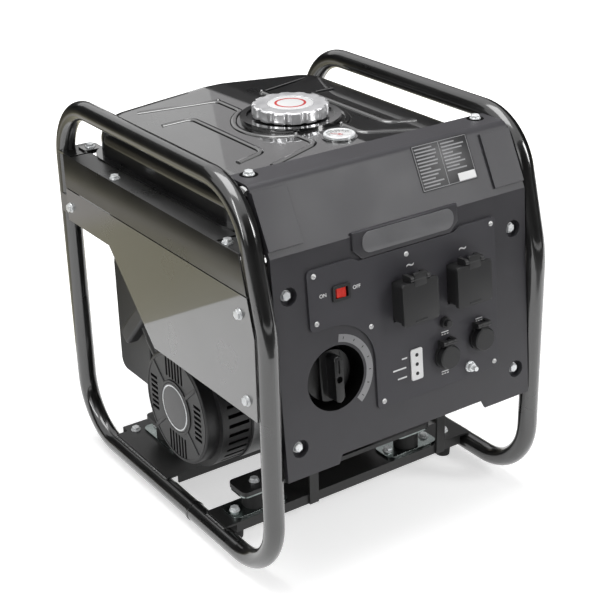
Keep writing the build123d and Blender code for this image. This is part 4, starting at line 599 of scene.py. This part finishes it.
# %% [markdown]
# ## Geometry Nodes
#
# What repeats, or follows a surface, is left to Geometry Nodes. A Shaper is a node tree with named inputs.
# It is run on a carrier, a bare mesh of points and edges that says where things go, and gives back a plain
# mesh, because copies that are still instances would be lost when the generator is exported.

# %% Trees with named inputs
socket_kinds = {float: "NodeSocketFloat", int: "NodeSocketInt"}


class Shaper(Graph):
    """A Geometry Nodes tree with named inputs, which turns a carrier of points and edges into a mesh."""

    def __init__(self, name, **sizes):
        super().__init__(bpy.data.node_groups.new(name, "GeometryNodeTree"))
        face = self.tree.interface
        face.new_socket("Carrier", in_out="INPUT", socket_type="NodeSocketGeometry")
        face.new_socket("Mesh", in_out="OUTPUT", socket_type="NodeSocketGeometry")
        self.values = {}
        for label, value in sizes.items():
            made = face.new_socket(label, in_out="INPUT", socket_type=socket_kinds[type(value)])
            self.values[made.identifier] = value
        start = self.tree.nodes.new("NodeGroupInput")
        self.inputs = {s.name: Wire(self, s) for s in start.outputs if s.name}
        self.end = self.tree.nodes.new("NodeGroupOutput")

    def triple(self, x, y, z):
        return self.node("ShaderNodeCombineXYZ", {}, {"X": x, "Y": y, "Z": z})

    def random(self, low, high):
        """A number between two others, drawn anew for every instance from the tree's seed."""
        sockets = {2: low, 3: high, "Seed": self.inputs["Seed"]}
        return self.node("FunctionNodeRandomValue", {}, sockets, output=1)

    def stepped(self, curve):
        """A curve with a point at every Step along it."""
        sockets = {"Curve": curve, "Length": self.inputs["Step"]}
        return self.node("GeometryNodeResampleCurve", {"mode": "LENGTH"}, sockets)

    def spread(self, points, pattern, **settings):
        """A copy of a pattern on every point."""
        sockets = {"Points": points, "Instance": pattern} | settings
        return self.node("GeometryNodeInstanceOnPoints", {}, sockets)

    def close(self, geometry, finish):
        """The last nodes of every tree: real geometry, with its finish."""
        solid = self.node("GeometryNodeRealizeInstances", {}, {"Geometry": geometry})
        paint = {"Geometry": solid, "Material": finishes[finish]}
        self.feed(self.end, {0: self.node("GeometryNodeSetMaterial", {}, paint)})

    def run(self, name, points, edges=()):
        """Run the tree on points in metres and return the mesh that it makes."""
        carrier = bpy.data.meshes.new(f"{name}_carrier")
        carrier.from_pydata(points, edges, [])
        holder = bpy.data.objects.new(f"{name}_carrier", carrier)
        scene.collection.objects.link(holder)
        modifier = holder.modifiers.new("shape", "NODES")
        modifier.node_group = self.tree
        for identifier, value in self.values.items():
            modifier[identifier] = value
        made = holder.evaluated_get(bpy.context.evaluated_depsgraph_get())
        mesh = bpy.data.meshes.new_from_object(made)
        holder.modifiers.remove(modifier)
        bpy.data.objects.remove(holder)
        bpy.data.meshes.remove(carrier)
        mesh.name = name
        return mesh


def chains(*paths):
    """Points and edges of several open lines."""
    points, edges = [], []
    for path in paths:
        edges += [(len(points) + i, len(points) + i + 1) for i in range(len(path) - 1)]
        points += [Vector(point) for point in path]
    return points, edges


# %% [markdown]
# ## The tank's pressing
#
# A flat sheet of steel drums and dents, so the press folds shallow ridges into a tank's top to stiffen it.
# A long ridge on each side runs in from the rear corner, passes round the filler and runs out to the front
# corner, and a bracket-shaped one lies outside it. The lines are drawn flat, in plan. The tree rounds their
# corners, drops each point onto the tank with a Raycast node and sweeps a low half-round along them. Small
# domes stand where the long ridges turn.

# %% Ridges dropped onto the tank
filler = (0.0, 5.9)
ridge_bow, ridge_neck = 72.0, 34.0
bow_turn = math.degrees(math.acos(ridge_neck / ridge_bow))
bow = arc(ridge_bow, 180 - bow_turn, 180 + bow_turn, 14, filler)
long_ridge = [(-131.0, 167.0), (-ridge_neck, 124.0), *bow, (-ridge_neck, -98.0), (-109.0, -117.0)]
side_ridge = [(-132.0, 100.0), (-92.0, 92.5), (-92.0, -72.5), (-132.0, -79.0)]
plan = [[(side * x, y) for x, y in line] for line in (long_ridge, side_ridge) for side in (-1, 1)]

ridges = Shaper("pressed_ridges", Width=9.0 * MM, Height=1.9 * MM, Corner=12.0 * MM, Step=3.0 * MM)
line = ridges.node("GeometryNodeMeshToCurve", {}, {"Mesh": ridges.inputs["Carrier"]})
corner = {"Curve": line, "Count": 5, "Radius": ridges.inputs["Corner"], "Limit Radius": True}
line = ridges.stepped(ridges.node("GeometryNodeFilletCurve", {"mode": "POLY"}, corner))
tank_skin = ridges.node("GeometryNodeObjectInfo", {}, {"Object": nodes["fuel_tank"]}, output="Geometry")
fall = {"Target Geometry": tank_skin, "Ray Direction": (0, 0, -1), "Ray Length": 1.0}
landing = ridges.node("GeometryNodeRaycast", {}, fall, output="Hit Position")
line = ridges.node("GeometryNodeSetPosition", {}, {"Geometry": line, "Position": landing})
line = ridges.node("GeometryNodeSetCurveNormal", {"mode": "Z_UP"}, {"Curve": line})
circle = {"Resolution": 14, "Radius": 1.0}
round_bar = ridges.node("GeometryNodeCurvePrimitiveCircle", {}, circle, output="Curve")
bar_size = ridges.triple(ridges.inputs["Width"] * 0.5, ridges.inputs["Height"], 1.0)
low_bar = ridges.node("GeometryNodeTransform", {}, {"Geometry": round_bar, "Scale": bar_size})
sweep = {"Curve": line, "Profile Curve": low_bar, "Fill Caps": True}
ridges.close(ridges.node("GeometryNodeCurveToMesh", {}, sweep), "tank_black")
above_tank = 0.6
paths = [[(x * MM, y * MM, above_tank) for x, y in path] for path in plan]
mount("tank_ridges", ridges.run("tank_ridges", *chains(*paths)), "frame")

crown = level(0, 0, 498.3)
dome = [(0, 3.4), (1.4, 3.2), (2.5, 2.5), (3.2, 1.4), (3.5, -0.6)]
turns = [(side * ridge_neck, y) for side in (-1, 1) for y in (124.0, -56.0)]
domes = [moved(turned(dome, steps=24), x, y) for x, y in turns]
piece("tank_dimples", joined(*domes), "frame", "tank_black", crown)
print(f"{len(plan)} ridges and {len(turns)} domes on the tank")

# %% [markdown]
# ## Filler cap and fuel gauge
#
# The cap carries a white disc with a plain red ring. The gauge is a pale dial under a clear window, with a
# plated rim, dark marks from empty to full and a red pointer. The marks follow a circle, so a small tree
# makes them: it spins one bar round the points of an arc.

# %% Printed finishes and clear plastic
for name, dark, light in (
    ("print_white", tone(214, 214, 214), tone(230, 230, 230)),
    ("print_red", tone(186, 36, 36), tone(204, 52, 48)),
    ("print_grey", tone(128, 128, 130), tone(150, 150, 152)),
    ("lamp_dark", tone(26, 26, 28), tone(40, 40, 42)),
):
    plain_finish(name, dark, light, 0.42, grain=1500, depth=0.004)
# A near-black with almost no shine. It inks the dial marks, and it is also painted shade in recesses: the
# rings round the brow bolts and the knob cup's liner.
shadow = plain_finish("deep_black", tone(7, 7, 7), tone(13, 13, 13), 0.8, grain=1500, depth=0.004)
shadow.set(Specular_IOR_Level=0.05)

clear = Finish("clear_window")
smears = clear.ramp(clear.noise(90, 4.0), 0.35, 0.7, 0.03, 0.12)
clear.set(Base_Color=(1, 1, 1, 1), Roughness=smears, Transmission_Weight=1.0, IOR=1.46)
print("printed finishes and a clear window")

# %% Cap disc and gauge
cap_top, disc_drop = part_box("fuel_cap")[1].z / MM, 1.0
cap_spot = level(*filler, cap_top - disc_drop)
piece("cap_disc", turned([(0, 0.7), (27, 0.7), (28.6, 0.5), (29, 0)]), "tank_cap", "print_white", cap_spot)
ring = turned([(17, 0.6), (17, 0.85), (20, 0.85), (20, 0.6)], closed=True)
piece("cap_ring", ring, "tank_cap", "print_red", cap_spot)

gauge_low, gauge_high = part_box("fuel_gauge")
gauge_middle = (gauge_low + gauge_high) / 2 / MM
gauge = level(gauge_middle.x, gauge_middle.y, gauge_high.z / MM)
dial_drop = -1.4
rim = [(15.6, dial_drop), (15.6, 0.9), (16.2, 1.4), (18.2, 1.4), (19.4, 0.4), (19.4, -2.6)]
piece("gauge_rim", turned(rim), "frame", "zinc", gauge)
dial = turned([(0, dial_drop + 0.3), (15.8, dial_drop + 0.3), (15.8, dial_drop)])
piece("gauge_dial", dial, "frame", "print_white", gauge)
needle = slab([(-0.9, -4), (0.9, -4), (0.35, 11.5), (-0.35, 11.5)], dial_drop + 0.5, dial_drop + 0.9)
hub = turned([(0, dial_drop + 1.3), (1.6, dial_drop + 1.2), (2.1, dial_drop + 0.4)], steps=24)
piece("gauge_needle", joined(moved(needle, turn=38), hub), "frame", "print_red", gauge)
window = turned([(0, 1.25), (9, 1.05), (15.7, 0.5), (15.7, 0.1), (9, 0.65), (0, 0.85)])
piece("gauge_window", window, "frame", "clear_window", gauge)

marks = Shaper("dial_marks", Length=3.0 * MM, Width=0.8 * MM, Thick=0.12 * MM)
size = marks.triple(marks.inputs["Width"], marks.inputs["Length"], marks.inputs["Thick"])
bar = marks.node("GeometryNodeMeshCube", {}, {"Size": size})
outward = marks.node("GeometryNodeInputPosition")
axes = {"axis": "Y", "pivot_axis": "Z"}
facing = marks.node("FunctionNodeAlignRotationToVector", axes, {"Vector": outward})
marks.close(marks.spread(marks.inputs["Carrier"], bar, Rotation=facing), "deep_black")


def dial_marks(name, radius, start, end, count, place):
    """Marks along an arc, made on the bench and carried to their dial."""
    mesh = marks.run(name, [(x * MM, y * MM, 0) for x, y in arc(radius, start, end, count - 1)])
    mesh.transform(place)
    return mount(name, mesh, "frame")


dial_marks("gauge_marks", 12.4, 20, 160, 9, at(gauge, 0, 0, dial_drop + 0.36))

brow_bolt_x, brow_bolt_y = 165.0, -154.3
brow_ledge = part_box("front_panel")[1].z / MM
# Each brow bolt sits in a recess. The thin black ring round it is painted shadow of that recess.
for name, x in (("left", -brow_bolt_x), ("right", brow_bolt_x)):
    shadow_ring = turned([(7.0, 0.0), (7.0, 0.4), (10.2, 0.4), (10.8, 0.0)], closed=True)
    piece(f"brow_washer_{name}", shadow_ring, "frame", "deep_black", level(x, brow_bolt_y, brow_ledge))
print("cap disc, ring, gauge and painted shadows round the brow bolts")

# %% [markdown]
# ## Brow, pad and plaque
#
# The brow carries a data plate with ruled rows in two columns. The rows are bars of random length, and a
# tree makes them from the left end of each row, with a fixed seed so that they come out the same each time.
# Below the plate a pad stands proud of the panel and holds a smooth plaque.

# %% Data plate
data_plate = at(brow, 79.3, 54.0)
plate_width, plate_height, line_width = 84.0, 56.0, 0.8
plate_sheet = slab(rounded_box(plate_width, plate_height, 2), 0, 0.6, 0.2)
piece("data_plate", plate_sheet, "frame", "gauge_dark", data_plate)


def printed_bar(width, height, corner, thick=0.1):
    """A thin flat bar, as printing ink lies on a plate."""
    return slab(rounded_box(width, height, corner, 2), 0, thick)


ruled_width, ruled_height, line_corner, ink_face = plate_width - 3, plate_height - 3, line_width / 3, 0.62
rules = []
for side in (-0.5, 0.5):
    rules.append(moved(printed_bar(ruled_width, line_width, line_corner), y=side * ruled_height))
    rules.append(moved(printed_bar(line_width, ruled_height, line_corner), x=side * ruled_width))
rules.append(moved(printed_bar(line_width, ruled_height, 0.2), x=-2.0))
piece("data_rules", joined(*rules), "frame", "print_grey", at(data_plate, 0, 0, ink_face))
white_box = printed_bar(26, 9.5, 0.5, thick=0.12)
piece("data_blank", white_box, "frame", "print_white", at(data_plate, 27.0, -21.2, ink_face))

rows = Shaper("data_rows", Length=35.0 * MM, Height=1.7 * MM, Thick=0.1 * MM, Seed=11)
cell = rows.node("GeometryNodeMeshCube", {}, {"Size": (1, 1, 1)})
cell = rows.node("GeometryNodeTransform", {}, {"Geometry": cell, "Translation": (0.5, 0, 0.5)})
length = rows.random(0.35, 1.0) * rows.inputs["Length"]
stretch = rows.triple(length, rows.inputs["Height"], rows.inputs["Thick"])
rows.close(rows.spread(rows.inputs["Carrier"], cell, Scale=stretch), "print_grey")
row_pitch, row_count = 4.1, 12
row_starts = [(x * MM, (22.6 - row_pitch * row) * MM, 0) for row in range(row_count) for x in (-38.5, 1.0)]
right_rows = 9
row_starts = [place for i, place in enumerate(row_starts) if i % 2 == 0 or i // 2 < right_rows]
data_rows = rows.run("data_rows", row_starts)
data_rows.transform(at(data_plate, 0, 0, ink_face))
mount("data_rows", data_rows, "frame")
print(f"data plate with {len(row_starts)} rows")

# %% Pad and plaque
plain_finish("plaque_grey", tone(98, 98, 100), tone(112, 112, 114), 0.36, grain=1500, depth=0.006)
pad_low, pad_high, pad_half, pad_cut = 121.5, 155.0, 77.0, 12.0
pad_line = [(pad_cut - pad_half, pad_low), (pad_half - pad_cut, pad_low), (pad_half, pad_low + pad_cut)]
pad_line += [(pad_half, pad_high), (-pad_half, pad_high), (-pad_half, pad_low + pad_cut)]
pad_back, pad_face = -5.0, 3.2
piece("plaque_pad", slab(pad_line, pad_back, pad_face, 1.6), "frame", "panel_charcoal", panel)
plaque = slab(rounded_box(134, 25, 11), 0, 1.3, 0.5)
piece("plaque", plaque, "frame", "plaque_grey", at(panel, 2.5, 140, pad_face))
print("pad and plaque")

# %% [markdown]
# ## The control plate
#
# Pan-head screws with a cross slot hold the plate. One head is drawn on the bench and cut with a cross; the
# tree then sets a copy on every point, each turned at random, as screws stop where they are tight. The
# print is the least that a switch and a socket need: on, off, and the signs for alternating and direct
# current.

# %% Cross-slotted screws
def cut(shape, tool):
    """A shape with another taken out of it."""
    holders = []
    for name, part in (("blank", shape), ("cutter", tool)):
        mesh = bpy.data.meshes.new(name)
        part.to_mesh(mesh)
        part.free()
        holders.append(bpy.data.objects.new(name, mesh))
        scene.collection.objects.link(holders[-1])
    modifier = holders[0].modifiers.new("cut", "BOOLEAN")
    modifier.operation = "DIFFERENCE"
    modifier.object = holders[1]
    made = holders[0].evaluated_get(bpy.context.evaluated_depsgraph_get())
    result = bmesh.new()
    result.from_mesh(made.to_mesh())
    for holder in holders:
        bpy.data.meshes.remove(holder.data)
    return result


head_radius = 3.3
pan_head = [(0, 2.3), (1.2, 2.2), (2.3, 1.75), (3.0, 1.05), (head_radius, 0.2)]
pan_head += [(head_radius, -0.4), (0, -0.4)]
screw = turned(pan_head, steps=32)
for turn in (0, 90):
    screw = cut(screw, moved(slab(rounded_box(4.0, 0.95, 0.2, 2), 1.2, 4.0), turn=turn))
bmesh.ops.transform(screw, matrix=Matrix.Scale(MM, 4), verts=screw.verts)
head_mesh = bpy.data.meshes.new("screw_head")
screw.to_mesh(head_mesh)
screw.free()
head = bpy.data.objects.new("screw_head", head_mesh)

screws = Shaper("plate_screws", Seed=4)
pattern = screws.node("GeometryNodeObjectInfo", {}, {"Object": head}, output="Geometry")
chance_turn = screws.triple(0.0, 0.0, screws.random(0.0, math.pi))
screws.close(screws.spread(screws.inputs["Carrier"], pattern, Rotation=chance_turn), "screw_steel")
screw_spots = [(-133, 118), (-133, 61), (-58, 37), (-45, -62), (128, -62), (128, 118), (-2, 112)]
screw_mesh = screws.run("plate_screw_heads", [(u * MM, v * MM, 0) for u, v in screw_spots])
screw_mesh.transform(plate_face)
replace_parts(mount("plate_screw_heads", screw_mesh, "frame"), "plate_screws")
bpy.data.objects.remove(head)
print(f"{len(screw_spots)} screws")

# %% Print on the plate
def lettering(name, words, height, place):
    """Printed words as a flat mesh, centred on a place."""
    font = bpy.data.curves.new(name, "FONT")
    font.body = words
    font.size = height
    font.align_x = "CENTER"
    font.align_y = "CENTER"
    font.extrude = 0.04
    font.offset = 0.14
    holder = bpy.data.objects.new(name, font)
    scene.collection.objects.link(holder)
    mesh = bpy.data.meshes.new_from_object(holder.evaluated_get(bpy.context.evaluated_depsgraph_get()))
    bpy.data.objects.remove(holder)
    mesh.transform(place @ Matrix.Scale(MM, 4))
    mesh.materials.clear()
    mesh.materials.append(finishes["print_white"])
    return mount(name, mesh, "frame")


print_face = at(plate_face, 0, 0, 0.05)
for name, words, height, u, v in (
    ("print_on", "ON", 6.2, -122, 92),
    ("print_off", "OFF", 6.2, -75, 91),
    ("print_mains_left", "~", 20.0, 3, 98),
    ("print_mains_right", "~", 20.0, 83, 98.5),
):
    lettering(name, words, height, at(print_face, u, v))

ink_thick = 0.08


def direct_sign():
    """The sign for direct current: a line over three dashes."""
    dashes = [moved(printed_bar(2.8, 1.3, 0.3, ink_thick), x=x, y=-1.5) for x in (-4.1, 0.0, 4.1)]
    return joined(moved(printed_bar(11.0, 1.3, 0.3, ink_thick), y=1.5), *dashes)


for name, u, v in (("breaker", 51, -2), ("charger", 105, 0.5), ("socket", 49, -53)):
    piece(f"print_{name}", direct_sign(), "frame", "print_white", at(print_face, u, v))
lamp_column, lamp_middle, lamp_pitch = 5.5, -29.0, 12.0
for name, step, u, length in (("high", 1, -12, 8), ("middle", 0, -20, 20), ("low", -1, -16.5, 14)):
    stroke = slab(rounded_box(length, 2.0, 0.6, 3), 0, ink_thick)
    stroke_spot = at(print_face, u, lamp_middle + step * lamp_pitch)
    piece(f"print_lamp_{name}", stroke, "frame", "print_white", stroke_spot)
lamp_dome = [(0, 1.15), (1.3, 1.0), (2.15, 0.55), (2.3, 0)]
lamps = [moved(turned(lamp_dome, steps=24), y=step * lamp_pitch) for step in (-1, 0, 1)]
piece("lamp_windows", joined(*lamps), "frame", "lamp_dark", at(plate_face, lamp_column, lamp_middle, 1.5))
print("print and lamps")

# %% [markdown]
# ## Knob and lids
#
# The knob sits deep in a cup whose wall and floor are lined with painted shade. Its grip is a long bar on a
# raised land, with a groove that points at the scale and a screw hole in the middle. The outlets' lids are
# thick mouldings with a tongue that wraps the hinge pin, so each is drawn anew round the same hinge and
# stands in for its plain solid.

# %% Knob and scale
knob_spot = at(panel, -110, -13)
plain_finish("knob_black", tone(15, 15, 16), tone(24, 24, 25), 0.34, grain=1200, depth=0.01)
# The cup's liner is painted shade: a near-black sheet round the wall and floor of the deep recess.
shade_liner = [(39.7, 0.0), (39.7, -23.6), (33.6, -23.6), (33.6, -23.8), (39.95, -23.8), (39.95, 0.0)]
piece("knob_cup", turned(shade_liner, closed=True), "frame", "deep_black", knob_spot)
land_half, land_radius = 15.0, 31.5
land_turn = math.degrees(math.acos(land_half / land_radius))
land = arc(land_radius, land_turn, 180 - land_turn, 16)
land += arc(land_radius, 180 + land_turn, 360 - land_turn, 16)
grip = slab(rounded_box(11.5, 58, 5.6, 8), -20.0, 7.0, 1.8)
grip = cut(grip, turned([(0, 8), (4.2, 8), (4.2, 2), (0, 2)], steps=32))
grip = cut(grip, moved(slab(rounded_box(3.0, 17, 1.4), 5.6, 9.0), y=16))
skirt = turned([(0, -23.2), (33, -23.2), (33, -18), (31.6, -16.4), (0, -16.4)])
whole_knob = joined(skirt, slab(land, -17.0, -10.5, 1.4), grip)
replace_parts(piece("knob_moulding", whole_knob, "knob", "knob_black", knob_spot), "rotary_knob")

band = arc(53, -50, 82, 28) + arc(43.5, 82, -50, 28)
piece("knob_scale", slab(band, 0.0, 0.25), "frame", "print_grey", knob_spot)
dial_marks("knob_marks", 48.5, -42, 74, 7, at(knob_spot, 0, 0, 0.32))
print("knob and scale")

# %% Lids
lid_face, lid_back, lid_limit, hinge_rise, hinge_out = 24.7, 19.4, 25.3, 29.9, 22.4
outlet_pitch, outlet_rise = 82.5, 58
for side, u in (("left", 0.0), ("right", outlet_pitch)):
    lid = slab(rounded_box(53, 52, 3.2), lid_back, lid_face, 1.5)
    tongue = moved(slab(rounded_box(17.6, 16.0, 1.6), hinge_out - 1.0, lid_limit, 1.0), y=hinge_rise - 1.5)
    barrel = turned([(0, -8.8), (3.2, -8.8), (3.2, 8.8), (0, 8.8)], steps=24)
    lying = Matrix.Translation((0, hinge_rise, hinge_out)) @ Matrix.Rotation(math.radians(90), 4, "Y")
    bmesh.ops.transform(barrel, matrix=lying, verts=barrel.verts)
    pull = moved(slab(rounded_box(18, 2.2, 1.0, 4), lid_face - 0.5, lid_limit, 0.3), y=-22.5)
    whole_lid = joined(lid, tongue, barrel, pull)
    outlet = at(panel, u, outlet_rise)
    made = piece(f"lid_{side}_moulding", whole_lid, f"lid_{side}", "plastic_black", outlet)
    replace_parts(made, f"outlet_lid_{side}")
print("two lids")

# %% [markdown]
# ## Recoil starter
#
# The starter's cover has a raised rim, a ring round the badge and four spokes between its slots. The badge
# is a low dome inside a bright ring. The rope runs through the guide to the handle.

# %% Cover and badge
recoil_y, recoil_z = 9.9, 144.5
cover = spot((-188.0, recoil_y, recoil_z), (0, -1, 0), (0, 0, 1))
rib_foot, spoke_middle, badge_radius = -0.5, 54.4, 29.4
ribs = []
for inner, outer, top in ((33.6, 37.5, 1.6), (71.0, 74.2, 0.8)):
    crest = [(inner, top - 0.4), (inner + 0.5, top), (outer - 0.5, top), (outer, top - 0.4)]
    ribs.append(turned([(inner, rib_foot), *crest, (outer, rib_foot)]))
for turn in (42, 138, 222, 318):
    spoke = moved(slab(rounded_box(35.5, 5.2, 1.2, 3), rib_foot, 1.1, 0.6), x=spoke_middle)
    ribs.append(moved(spoke, turn=turn))
piece("recoil_ribs", joined(*ribs), "frame", "plastic_black", cover)
badge_face = at(cover, 0, 0, 1.6)
bright_ring = turned([(badge_radius, 0), (badge_radius, 0.5), (31.2, 0.5), (31.2, 0)], closed=True)
piece("badge_ring", bright_ring, "frame", "zinc", badge_face)
low_dome = turned([(0, 0.9), (14, 0.75), (24, 0.4), (badge_radius, 0.0)])
piece("badge_dome", low_dome, "frame", "badge_dark", badge_face)
print("ribs and badge")

# %% Rope
rope_angle = math.radians(44.0)
rope_along = Vector((0, math.cos(rope_angle), math.sin(rope_angle)))
rope_middle = Vector((-178.0, recoil_y, recoil_z))
rope_start, guide_end, rope_end, rope_radius = 45.0, 101.0, 111.0, 2.4
fixed_part = [rope_start + (guide_end - rope_start) * i / 12 for i in range(12)]
drawn_part = [guide_end + (rope_end - guide_end) * i / 72 for i in range(73)]
profile = [(0, rope_start)] + [(rope_radius, z) for z in fixed_part + drawn_part] + [(0, rope_end)]
rope = turned(profile, steps=16)
sideways = Vector((1, 0, 0))
rope_spot = spot(rope_middle, sideways, rope_along.cross(sideways))
bmesh.ops.transform(rope, matrix=rope_spot @ Matrix.Scale(MM, 4), verts=rope.verts)
rope_mesh = bpy.data.meshes.new("starter_cord")
rope.to_mesh(rope_mesh)
rope.free()
rope_mesh.shade_smooth()
rope_mesh.materials.append(finishes["rope_fibre"])
rope_piece = bpy.data.objects.new("starter_cord", rope_mesh)
scene.collection.objects.link(rope_piece)
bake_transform(rope_piece)
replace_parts(rope_piece, "starter_rope")
print("rope of", len(profile), "rings")

# %% [markdown]
# ## Welds and tube joints
#
# The crossmembers are welded to the lower tubes. A weld is a row of overlapping puddles, so the tree walks
# along each seam in short steps and sets down a flattened ball at every step, each a little larger or
# smaller than the last. Each loop is closed where its two ends slip into one another, which leaves a ring.

# %% Weld beads
welds = Shaper("weld_beads", Step=2.6 * MM, Radius=2.6 * MM, Seed=3)
seam = welds.node("GeometryNodeMeshToCurve", {}, {"Mesh": welds.inputs["Carrier"]})
puddle = welds.node("GeometryNodeMeshIcoSphere", {}, {"Radius": welds.inputs["Radius"], "Subdivisions": 3})
puddle = welds.node("GeometryNodeTransform", {}, {"Geometry": puddle, "Scale": (1.0, 0.8, 0.55)})
welds.close(welds.spread(welds.stepped(seam), puddle, Scale=welds.random(0.85, 1.15)), "tube_black")
loop_x, tube_top, bead_proud = 200.0, 32.7, 0.6
seam_x, seam_z = loop_x + bead_proud, tube_top + bead_proud
seams = []
for ends in ((-119.0, -80.0), (26.0, 164.0)):
    seams += [[(side * seam_x * MM, y * MM, seam_z * MM) for y in ends] for side in (-1, 1)]
mount("weld_beads", welds.run("weld_beads", *chains(*seams)), "frame")

lower_tube = 20.0
sleeve = [(12.5, -2.6), (13.6, -1.8), (13.6, 1.8), (12.5, 2.6)]
for name, side in (("left", -1), ("right", 1)):
    along_tube = spot((side * loop_x, -45.0, lower_tube), (1, 0, 0), (0, 0, 1))
    piece(f"tube_joint_{name}", turned(sleeve), "frame", "tube_black", along_tube)
print(f"{len(seams)} welds and two tube joints")
